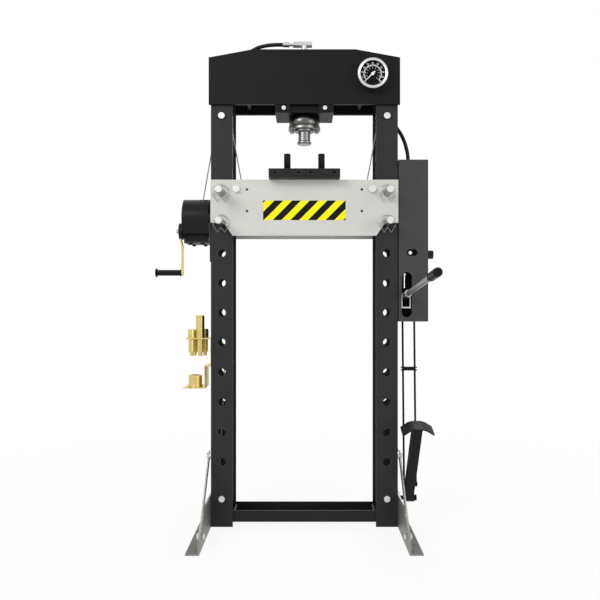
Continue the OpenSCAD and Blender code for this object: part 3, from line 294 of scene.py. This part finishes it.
# %% [markdown]
# ## Soft edges
# Real plates never have knife edges: a folded, sawn or cast edge is rounded by half a millimetre or more, and that
# thin round is what catches the light. A solid's mesh is a set of loose triangles, so a copy is merged, its flat
# triangles are dissolved into whole faces, and its sharp edges are bevelled. The copy stands in for the solid.

# %% Dressed copies of the solids
SHARP = math.radians(34)
FLAT = math.radians(0.4)
WELD = 0.002 * MM


def weighted(piece):
    """Normals weighted by face area keep the big faces flat beside their bevels."""
    modifier = piece.modifiers.new("weighted", "WEIGHTED_NORMAL")
    modifier.keep_sharp = True
    modifier.weight = 60


def dressed(name, finish, edge_mm=0.0):
    """A merged copy of a solid with soft edges, in place of it."""
    source = nodes[name]
    bm = bmesh.new()
    bm.from_mesh(source.data)
    bmesh.ops.remove_doubles(bm, verts=bm.verts, dist=WELD)
    bmesh.ops.dissolve_limit(bm, angle_limit=FLAT, verts=bm.verts, edges=bm.edges)
    if edge_mm:
        corners = [e for e in bm.edges if e.is_manifold and e.calc_face_angle() > SHARP]
        bmesh.ops.bevel(bm, geom=corners, offset=edge_mm * MM, offset_type="OFFSET", segments=2, profile=0.5,
                        affect="EDGES", clamp_overlap=True, material=-1)
    for face in bm.faces:
        face.smooth = True
    for edge in bm.edges:
        edge.smooth = not edge.is_manifold or edge.calc_face_angle() < SHARP
    mesh = bpy.data.meshes.new(name + "_dressed")
    bm.to_mesh(mesh)
    bm.free()
    piece = bpy.data.objects.new(name + "_dressed", mesh)
    bpy.context.scene.collection.objects.link(piece)
    mesh.materials.append(finish)
    weighted(piece)
    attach(piece, source["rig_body"])
    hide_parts(name)
    return piece


def keep_piece(bm, name, finish, body):
    """The finished bmesh as a piece that rides on a body."""
    bmesh.ops.recalc_face_normals(bm, faces=bm.faces)
    mesh = bpy.data.meshes.new(name)
    bm.to_mesh(mesh)
    bm.free()
    mesh.materials.append(finish)
    piece = bpy.data.objects.new(name, mesh)
    bpy.context.scene.collection.objects.link(piece)
    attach(piece, body)
    return piece


EDGES = {
    black_powder: {"head_front_plate": 1.2, "head_rear_plate": 1.2, "head_bars": 0.6, "cylinder_mount": 1.2,
                   "pump_block": 1.0, "pedal_bracket": 0.8, "foot_pedal": 1.0, "foot_rods": 0.5},
    satin_powder: {"base_crossbar": 1.2, "left_v_block": 2.0, "right_v_block": 2.0},
    gloss_powder: {"winch_frame": 0.8, "winch_cover": 1.0, "winch_pinion": 0.0},
    charcoal_powder: {"left_upright": 2.0, "right_upright": 2.0, "winch_bracket": 1.0},
    grey_powder: {"pump_cover": 0.9},
    table_enamel: {"table_front_plate": 1.2, "table_rear_plate": 1.2, "table_spacers": 0.6},
    galvanised: {"left_foot": 1.0, "right_foot": 1.0},
    # The braces take the lighter galvanised copy whole, as painted highlight.
    galvanised_painted_highlight: {"foot_braces": 0.8},
    bright_zinc: {"hose_elbow": 0.7, "pump_rod": 0.5, "lever_bracket": 0.6, "lever_socket": 0.5},
    polished_zinc_and_painted_highlight: {"frame_bolts": 0.8, "sheave_axles": 1.2, "rope_anchors": 1.2, "mount_screws": 0.6},
    # The pins take the darker zinc whole, as painted shade.
    pin_zinc_painted_shade: {"pin_upper_left": 0.0, "pin_upper_right": 0.0, "pin_lower_left": 0.0, "pin_lower_right": 0.0},
    polished_bezel: {"gauge_case": 0.5},
    turned_steel: {"cylinder_body": 1.0, "cylinder_gland": 0.8, "ram": 0.5, "ram_pad": 0.5},
    turned_across: {"top_left_sheave": 0.4, "top_right_sheave": 0.4, "bottom_left_sheave": 0.4,
                    "bottom_right_sheave": 0.4, "winch_drum": 0.0},
    yellow_zinc: {"crank_arm": 0.6, "adapter_holder": 0.6, "press_adapters": 0.6},
    lever_chrome: {"lever_tube": 0.4},
    grip_vinyl: {"crank_grip": 1.0, "lever_grip": 0.8},
    knob_plastic: {"release_knob": 0.6, "hose_clips": 0.6},
    dial_black: {"gauge_dial": 0.0},
    dial_white: {"gauge_needle": 0.0},
    glass: {"gauge_lens": 0.3},
}
for finish, members in EDGES.items():
    for name, edge_mm in members.items():
        dressed(name, finish, edge_mm)
print("dressed:", sum(len(members) for members in EDGES.values()))

# %% [markdown]
# ## Painted shade and painted highlight, face by face
# A piece can carry more than one finish, chosen face by face. Each foot has a darker copy of its zinc on its flat
# leg, as painted shade, and a lighter copy along the cut edge of its upright leg, as painted highlight. The pins have
# a darker zinc along their length, as painted shade, and a brighter one on the end that faces the front, as painted
# highlight.

# %% Finishes face by face
LEG_TOP = 20 * MM
LEG_WALL = 9 * MM
PIN_END_AREA = (8 * MM) ** 2
for name in EDGES[galvanised]:
    foot = bpy.data.objects[name + "_dressed"].data
    foot.materials.append(galvanised_painted_shade)
    foot.materials.append(galvanised_painted_highlight)
    wall_x = min(abs(v.co.x) for v in foot.vertices)
    for face in foot.polygons:
        # Painted shade on the flat leg that faces up, painted highlight on the cut edge of the upright leg.
        flat_leg_painted_shade = face.normal.z > 0.95 and face.center.z < LEG_TOP
        cut_edge_painted_highlight = abs(face.normal.x) < 0.75 and abs(face.center.x) < wall_x + LEG_WALL and not flat_leg_painted_shade
        face.material_index = 1 if flat_leg_painted_shade else 2 if cut_edge_painted_highlight else 0
for name in EDGES[pin_zinc_painted_shade]:
    pin = bpy.data.objects[name + "_dressed"].data
    pin.materials.append(polished_zinc_and_painted_highlight)
    for face in pin.polygons:
        # Painted highlight on the pin end that faces the front; the rest keeps the painted shade.
        face.material_index = int(face.normal.y < -0.9 and face.area > PIN_END_AREA)
print("pieces with more than one finish:", len(EDGES[galvanised]) + len(EDGES[pin_zinc_painted_shade]))

# %% [markdown]
# ## Hose
# The pressure hose is a smooth rubber tube from the pump to the cylinder, clipped behind the head. A Bezier curve
# through the route's points with a round section gives it without a facet, and it becomes a mesh at the end.

# %% Pressure hose
HOSE_D = 15 * MM
HOSE_ROUTE = [
    (412, 20, 1425.3), (412, 21, 1443.4), (407, 28, 1479.5), (397, 43, 1520.2), (380, 63, 1560.9), (352, 80, 1599.3),
    (316, 90, 1640), (270, 93, 1675), (220, 93, 1698), (160, 93, 1710), (80, 93, 1712), (0, 93, 1712),
    (-80, 93, 1712), (-140, 93, 1718), (-190, 93, 1736), (-230, 93, 1766), (-249, 93, 1803),
    (-248, 86, 1842), (-226, 62, 1868), (-192, 34, 1880), (-157, 12, 1882), (-120, 1, 1882), (-85, 0, 1882),
]


def as_mesh(curve_object, name, finish):
    """The curve's tube as a mesh piece at the origin."""
    bpy.context.view_layer.update()
    mesh = bpy.data.meshes.new_from_object(curve_object.evaluated_get(bpy.context.evaluated_depsgraph_get()))
    mesh.transform(curve_object.matrix_world)
    curve = curve_object.data
    bpy.data.objects.remove(curve_object)
    bpy.data.curves.remove(curve)
    mesh.materials.clear()
    mesh.materials.append(finish)
    piece = bpy.data.objects.new(name, mesh)
    bpy.context.scene.collection.objects.link(piece)
    return piece


def tube(name, paths, diameter, finish, kind="POLY", sides=3):
    """Round tubes along lists of points, as one mesh."""
    curve = bpy.data.curves.new(name, "CURVE")
    curve.dimensions = "3D"
    curve.bevel_depth = diameter / 2
    curve.bevel_resolution = sides
    curve.resolution_u = 8
    curve.use_fill_caps = True
    for path in paths:
        spline = curve.splines.new(kind)
        if kind == "BEZIER":
            spline.bezier_points.add(len(path) - 1)
            for knot, point in zip(spline.bezier_points, path):
                knot.co = point
                knot.handle_left_type = knot.handle_right_type = "AUTO"
        else:
            spline.points.add(len(path) - 1)
            for knot, point in zip(spline.points, path):
                knot.co = (*point, 1)
    holder = bpy.data.objects.new(name, curve)
    bpy.context.scene.collection.objects.link(holder)
    piece = as_mesh(holder, name, finish)
    for polygon in piece.data.polygons:
        polygon.use_smooth = True
    return piece


hose = tube("pressure_hose", [[Vector(p) * MM for p in HOSE_ROUTE]], HOSE_D, rubber, "BEZIER", 6)
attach(hose, "frame")
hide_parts("hydraulic_hose")
print("hose faces:", len(hose.data.polygons))

# %% [markdown]
# ## Wire ropes
# Two steel ropes lift the table and keep it level. A rope is strands laid in a helix, so each rope here is three
# strands that wind around its route. The route is straight runs and arcs round the sheaves, as in the construction,
# and two bars in the base lead the second rope below the edge of the crossbar.

# %% Stranded ropes
ROPE_D = 5 * MM
STRANDS = 3
LAY = 38 * MM
STEP = 4 * MM
STRAND_OUT, STRAND_D = ROPE_D * 0.24, ROPE_D * 0.52
SHEAVE_X, SHEAVE_TOP, SHEAVE_LOW, SHEAVE_R = 318, 1582, 110, 25
ANCHOR_X, ANCHOR_Z, ANCHOR_R = 260, 1299, 20
LEAD_X, LEAD_Z, LEAD_R = 274.9, 46.8, 10.8
HOIST_Y, LEVEL_Y = -8, 8


def arc(x, y, z, r, start, end, steps):
    """Points on a circle about Y, angles in degrees from X towards Z."""
    angles = [math.radians(start + (end - start) * k / steps) for k in range(steps + 1)]
    return [(x + r * math.cos(a), y, z + r * math.sin(a)) for a in angles]


def even(path):
    """The path again, at even steps."""
    points = [Vector(p) * MM for p in path]
    out = [points[0]]
    for a, b in zip(points, points[1:]):
        count = max(1, round((b - a).length / STEP))
        out += [a.lerp(b, k / count) for k in range(1, count + 1)]
    return out


def strands(path):
    """Helices around a route that never runs along Y."""
    points = even(path)
    lines = [[] for _ in range(STRANDS)]
    travel = 0.0
    for i, point in enumerate(points):
        ahead = points[min(i + 1, len(points) - 1)] - points[max(i - 1, 0)]
        side = Vector((0, 1, 0)).cross(ahead).normalized()
        up = ahead.cross(side).normalized()
        travel += (point - points[i - 1]).length if i else 0.0
        for k, line in enumerate(lines):
            turn = math.tau * (travel / LAY + k / STRANDS)
            line.append(point + (side * math.cos(turn) + up * math.sin(turn)) * STRAND_OUT)
    return lines


hoist_route = ([(-408, -30, 1189)] + arc(-SHEAVE_X, HOIST_Y, SHEAVE_TOP, SHEAVE_R, 171, 10, 24)
               + arc(-ANCHOR_X, HOIST_Y, ANCHOR_Z, ANCHOR_R, 10, -150, 20))
level_route = (arc(ANCHOR_X, LEVEL_Y, ANCHOR_Z, ANCHOR_R, -30, -190, 20)
               + arc(SHEAVE_X, LEVEL_Y, SHEAVE_TOP, SHEAVE_R, 170, 0, 24)
               + arc(SHEAVE_X, LEVEL_Y, SHEAVE_LOW, SHEAVE_R, 0, -45, 8)
               + arc(LEAD_X, LEVEL_Y, LEAD_Z, LEAD_R, -45, -90, 5)
               + arc(-LEAD_X, LEVEL_Y, LEAD_Z, LEAD_R, -90, -135, 5)
               + arc(-SHEAVE_X, LEVEL_Y, SHEAVE_LOW, SHEAVE_R, -135, -178, 8)
               + arc(-ANCHOR_X, LEVEL_Y, ANCHOR_Z, ANCHOR_R, 178, 40, 20))
for name, node, route in (("hoist_wire_rope", "hoist_rope", hoist_route),
                          ("levelling_wire_rope", "levelling_rope", level_route)):
    rope = tube(name, strands(route), STRAND_D, rope_zinc, "POLY", 1)
    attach(rope, "frame")
    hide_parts(node)
    print(name, "faces:", len(rope.data.polygons))

# %% [markdown]
# ## Dial
# The gauge reads clockwise over three quarters of a turn. Its print is thin raised ink: long and short ticks, an arc
# that ties them, and plain numbers. Each tick is a small box turned into place, and the numbers are text made mesh.

# %% Gauge print
dial_low, dial_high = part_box("gauge_dial")
DIAL_CENTRE = (dial_low + dial_high) / 2
DIAL_FACE = dial_low.y
DIAL_R = (dial_high.x - dial_low.x) / 2
INK = 0.25 * MM
DIAL_START, DIAL_SWEEP = 225, 270
LONG_TICKS, SHORT_TICKS, ARC_PARTS = 10, 50, 90
NUMBERS = [str(n) for n in range(0, 51, 5)]
NUMBER_SIZE, NUMBER_BOLD, NUMBER_R = 8 * MM, 0.25 * MM, DIAL_R * 0.86


def dial_direction(share):
    angle = math.radians(DIAL_START - DIAL_SWEEP * share)
    return Vector((math.cos(angle), 0, math.sin(angle))), angle


def tick(bm, share, inner, outer, width):
    direction, angle = dial_direction(share)
    middle = DIAL_CENTRE + direction * (inner + outer) / 2
    middle.y = DIAL_FACE - INK / 2
    turn = Matrix.Rotation(-angle, 4, "Y")
    size = Matrix.Diagonal((outer - inner, INK, width, 1))
    bmesh.ops.create_cube(bm, size=1, matrix=Matrix.Translation(middle) @ turn @ size)


ticks = bmesh.new()
for k in range(SHORT_TICKS + 1):
    tick(ticks, k / SHORT_TICKS, DIAL_R * 0.61, DIAL_R * 0.66, 0.6 * MM)
for k in range(LONG_TICKS + 1):
    tick(ticks, k / LONG_TICKS, DIAL_R * 0.54, DIAL_R * 0.66, 1.2 * MM)
    tick(ticks, k / LONG_TICKS, DIAL_R * 0.44, DIAL_R * 0.48, 1.8 * MM)
for k in range(ARC_PARTS):
    tick(ticks, (k + 0.5) / ARC_PARTS, DIAL_R * 0.675, DIAL_R * 0.735, DIAL_R * 0.042)
keep_piece(ticks, "dial_ticks", dial_white, "frame")

for k, number in enumerate(NUMBERS):
    direction, _ = dial_direction(k / (len(NUMBERS) - 1))
    text = bpy.data.curves.new("dial_number", "FONT")
    text.body = number
    text.size = NUMBER_SIZE
    text.offset = NUMBER_BOLD
    text.align_x = "CENTER"
    text.align_y = "CENTER"
    text.extrude = INK / 2
    holder = bpy.data.objects.new("dial_number", text)
    bpy.context.scene.collection.objects.link(holder)
    spot = DIAL_CENTRE + direction * NUMBER_R
    upright = Matrix.Rotation(math.pi / 2, 4, "X")
    holder.matrix_world = Matrix.Translation((spot.x, DIAL_FACE - INK / 2, spot.z)) @ upright
    figure = as_mesh(holder, "dial_number_" + number, dial_white)
    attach(figure, "frame")
print("dial radius:", round(DIAL_R / MM, 1), "mm")

# %% [markdown]
# ## Warning label
# The front of the table carries a striped film label. It is a thin sheet with rounded corners, so its edge shows a
# little: a flat grid is bevelled at its corners and given the thickness of the film.

# %% Striped label
plate_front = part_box("table_front_plate")[0].y
LABEL_HALF_W = 158 * MM
LABEL_LOW, LABEL_HIGH = 1.180, 1.255
FILM = 0.4 * MM
label = bmesh.new()
corners = [(-LABEL_HALF_W, LABEL_LOW), (LABEL_HALF_W, LABEL_LOW),
           (LABEL_HALF_W, LABEL_HIGH), (-LABEL_HALF_W, LABEL_HIGH)]
label.faces.new([label.verts.new((x, plate_front, z)) for x, z in corners])
bmesh.ops.bevel(label, geom=label.verts[:], offset=1.5 * MM, offset_type="OFFSET", segments=3, profile=0.5,
                affect="VERTICES", material=-1)
film = bmesh.ops.extrude_face_region(label, geom=label.faces[:])
bmesh.ops.translate(label, vec=(0, -FILM, 0), verts=[v for v in film["geom"] if isinstance(v, bmesh.types.BMVert)])
keep_piece(label, "warning_label", warning_stripes, "frame")
print("label", round(2 * LABEL_HALF_W / MM), "mm wide")

# %% [markdown]
# ## Crank nut
# The crank is held by one bright nut at the end of the black pinion shaft. It is a six-sided cone with equal ends and
# a small bevel, and it turns with the crank.

# %% Nut on the crank
hub_low, hub_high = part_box("winch_pinion")
NUT_ACROSS = 14 * MM
NUT_LONG = 12.5 * MM
NUT_PROUD = 0.3 * MM
NUT_R = NUT_ACROSS / math.sqrt(3)
nut = bmesh.new()
turn = Matrix.Translation((hub_low.x + NUT_LONG / 2 - NUT_PROUD, (hub_low.y + hub_high.y) / 2,
                           (hub_low.z + hub_high.z) / 2)) @ Matrix.Rotation(math.pi / 2, 4, "Y")
bmesh.ops.create_cone(nut, cap_ends=True, segments=6, radius1=NUT_R, radius2=NUT_R, depth=NUT_LONG, matrix=turn)
bmesh.ops.bevel(nut, geom=nut.edges[:], offset=0.6 * MM, offset_type="OFFSET", segments=2, profile=0.5,
                affect="EDGES", material=-1)
keep_piece(nut, "crank_nut", bright_zinc, "crank")
print("nut at", [round(v / MM, 1) for v in turn.translation])

# %% [markdown]
# ## Screws in the table
# The table's front has four tapped holes, closed by black screws with low heads. Their black stands in for the shade
# inside the holes, as painted shade. The holes stand at a known distance from the middle, so the corners of the
# plate's mesh that lie there give the height of each hole.

# %% Screws in the table
HOLE_X, HOLE_R, SLACK = 220 * MM, 4.25 * MM, 0.5 * MM
HEAD_R, HEAD_PROUD, SCREW_LONG = 4.9 * MM, 0.4 * MM, 8 * MM
rims = [v.co.z for v in nodes["table_front_plate"].data.vertices if abs(abs(v.co.x) - HOLE_X) < HOLE_R + SLACK]
screw_heights = (min(rims) + HOLE_R, max(rims) - HOLE_R)
screw_y = plate_front - HEAD_PROUD + SCREW_LONG / 2
# Painted shade: the screws' black stands in for the dark inside of the holes.
screws = bmesh.new()
for x in (-HOLE_X, HOLE_X):
    for z in screw_heights:
        place = Matrix.Translation((x, screw_y, z)) @ Matrix.Rotation(math.pi / 2, 4, "X")
        bmesh.ops.create_cone(screws, cap_ends=True, segments=24, radius1=HOLE_R, radius2=HEAD_R, depth=SCREW_LONG,
                              matrix=place)
keep_piece(screws, "table_screws_painted_shade", knob_plastic, "frame")
print("screws at heights", [round(z / MM, 1) for z in screw_heights], "mm")

# %% [markdown]
# ## Sleeves on the block posts
# A sleeve slips over the post of each V block. It is a plain cylinder with a rounded rim, and its foot is inside the
# block.

# %% Sleeves on the block posts
SLEEVE_R, SLEEVE_OVER, SLEEVE_SUNK, RIM = 13.1 * MM, 14 * MM, 20 * MM, 1.5 * MM
for name in ("left_v_block", "right_v_block"):
    low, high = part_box(name)
    foot_z, top_z = low.z + SLEEVE_SUNK, high.z + SLEEVE_OVER
    middle = Vector(((low.x + high.x) / 2, (low.y + high.y) / 2, (foot_z + top_z) / 2))
    sleeve = bmesh.new()
    bmesh.ops.create_cone(sleeve, cap_ends=True, segments=48, radius1=SLEEVE_R, radius2=SLEEVE_R, depth=top_z - foot_z,
                          matrix=Matrix.Translation(middle))
    rim = [e for e in sleeve.edges if min(v.co.z for v in e.verts) > top_z - RIM]
    bmesh.ops.bevel(sleeve, geom=rim, offset=RIM, offset_type="OFFSET", segments=3, profile=0.5, affect="EDGES",
                    material=-1)
    piece = keep_piece(sleeve, name + "_sleeve", black_powder, "frame")
    for face in piece.data.polygons:
        face.use_smooth = abs(face.normal.z) < 0.99
    print(name, "sleeve top", round(top_z / MM, 1), "mm")

# %% [markdown]
# ## Filler in the rod clip
# A clip holds the two foot rods apart. Between its two plates sits a filler. The clip is the widest place of the rods,
# so the outermost points of their mesh tell where it is.

# %% Filler in the rod clip
CLIP_OVER, FILLER_DEEP, FILLER_HIGH = 14 * MM, 8 * MM, 6 * MM
points = [v.co for v in nodes["foot_rods"].data.vertices]
left, right = min(p.x for p in points), max(p.x for p in points)
ends = [p for p in points if p.x > right - 1 * MM]
clip = Vector(((left + right) / 2, sum(p.y for p in ends) / len(ends), sum(p.z for p in ends) / len(ends)))
filler = bmesh.new()
size = Matrix.Diagonal((right - left - CLIP_OVER, FILLER_DEEP, FILLER_HIGH, 1))
bmesh.ops.create_cube(filler, size=1.0, matrix=Matrix.Translation(clip) @ size)
bmesh.ops.bevel(filler, geom=filler.edges[:], offset=0.5 * MM, offset_type="OFFSET", segments=2, profile=0.5,
                affect="EDGES", material=-1)
keep_piece(filler, "rod_clip_filler", black_powder, nodes["foot_rods"]["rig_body"])
print("filler at", [round(v / MM, 1) for v in clip])

# %% [markdown]
# ## Collar on the cylinder
# Below its mount the cylinder is wider, and the gland is bolted under that collar. A short profile, as it would be cut
# on a lathe, is spun once around the cylinder's axis.

# %% Collar on the cylinder
barrel_low, barrel_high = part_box("cylinder_body")
collar_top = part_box("cylinder_mount")[0].z
axis = Vector(((barrel_low.x + barrel_high.x) / 2, (barrel_low.y + barrel_high.y) / 2, 0))
COLLAR_R, COLLAR_BORE, COLLAR_EDGE = 60.5 * MM, 48 * MM, 2 * MM
profile = [(COLLAR_BORE, barrel_low.z), (COLLAR_R - COLLAR_EDGE, barrel_low.z),
           (COLLAR_R, barrel_low.z + COLLAR_EDGE), (COLLAR_R, collar_top), (COLLAR_BORE, collar_top)]
collar = bmesh.new()
corners = [collar.verts.new(axis + Vector((r, 0, z))) for r, z in profile]
outline = [collar.edges.new((a, b)) for a, b in zip(corners, corners[1:] + corners[:1])]
bmesh.ops.spin(collar, geom=corners + outline, cent=axis, axis=(0, 0, 1), angle=math.tau, steps=96,
               use_duplicate=False)
bmesh.ops.remove_doubles(collar, verts=collar.verts, dist=WELD)
collar_piece = keep_piece(collar, "cylinder_collar", dark_turned, "frame")
for face in collar_piece.data.polygons:
    face.use_smooth = abs(face.normal.z) < 0.1
print("collar from", round(barrel_low.z / MM, 1), "to", round(collar_top / MM, 1), "mm")

# %% [markdown]
# ## Floor and light
# The photograph is on plain white. A wide floor takes a soft shadow and fades to white away from the object, so no
# horizon shows. The camera and reflections see white behind it. Three large soft lamps give the flat, even light of a
# catalogue picture, with a little more from the upper left.

# %% Floor, world and lamps
FLOOR_SIZE = 30.0
floor_mesh = bmesh.new()
bmesh.ops.create_grid(floor_mesh, x_segments=2, y_segments=2, size=FLOOR_SIZE)
mesh = bpy.data.meshes.new("floor")
floor_mesh.to_mesh(mesh)
floor_mesh.free()
floor = bpy.data.objects.new("floor", mesh)
bpy.context.scene.collection.objects.link(floor)
floor_paint, ground, matt_white, spot = start_material("floor_white")
matt_white.inputs["Base Color"].default_value = linear("#fbfbfb")
matt_white.inputs["Roughness"].default_value = 0.9


def seen_rays(tree):
    """One for rays from the camera, or for rays that a mirror or glass sends on."""
    path = add(tree, "ShaderNodeLightPath")
    seen = add(tree, "ShaderNodeMath", {0: path.outputs["Is Camera Ray"], 1: path.outputs["Is Glossy Ray"]},
               operation="MAXIMUM")
    seen = add(tree, "ShaderNodeMath", {0: seen.outputs[0], 1: path.outputs["Is Transmission Ray"]},
               operation="MAXIMUM")
    return seen.outputs[0]


away = add(ground, "ShaderNodeVectorMath", {0: spot}, operation="LENGTH")
fade = add(ground, "ShaderNodeMapRange", {"Value": away.outputs["Value"], "From Min": 0.7, "From Max": 2.4,
                                          "To Min": 0.9, "To Max": 1.0})
share = add(ground, "ShaderNodeMath", {0: fade.outputs["Result"], 1: seen_rays(ground)}, operation="MULTIPLY")
glow = add(ground, "ShaderNodeEmission", {"Color": linear("#ffffff"), "Strength": 1.0})
laid = add(ground, "ShaderNodeMixShader", {0: share.outputs[0], 1: matt_white.outputs[0], 2: glow.outputs[0]})
ground.links.new(laid.outputs[0], ground.nodes["Material Output"].inputs["Surface"])
mesh.materials.append(floor_paint)

world = bpy.data.worlds.new("studio")
bpy.context.scene.world = world
world.use_nodes = True
sky = world.node_tree
sky.nodes.clear()
ambient = add(sky, "ShaderNodeBackground", {"Color": linear("#ffffff"), "Strength": 0.48})
backdrop = add(sky, "ShaderNodeBackground", {"Color": linear("#ffffff"), "Strength": 1.0})
both = add(sky, "ShaderNodeMixShader", {0: seen_rays(sky), 1: ambient.outputs[0], 2: backdrop.outputs[0]})
add(sky, "ShaderNodeOutputWorld", {"Surface": both.outputs[0]})


def soft_lamp(name, place, aim, size, watts):
    data = bpy.data.lights.new(name, "AREA")
    data.shape = "DISK"
    data.size = size
    data.energy = watts
    lamp = bpy.data.objects.new(name, data)
    lamp.location = place
    lamp.rotation_euler = (Vector(aim) - Vector(place)).to_track_quat("-Z", "Y").to_euler()
    bpy.context.scene.collection.objects.link(lamp)


MIDDLE = (0, 0, 1.0)
soft_lamp("key", (-2.4, -3.0, 3.2), MIDDLE, 2.4, 82)
soft_lamp("fill", (3.0, -2.6, 1.6), MIDDLE, 2.6, 39)
soft_lamp("back", (0.5, 3.0, 3.0), MIDDLE, 2.4, 52)
bpy.context.scene.view_settings.view_transform = "Standard"
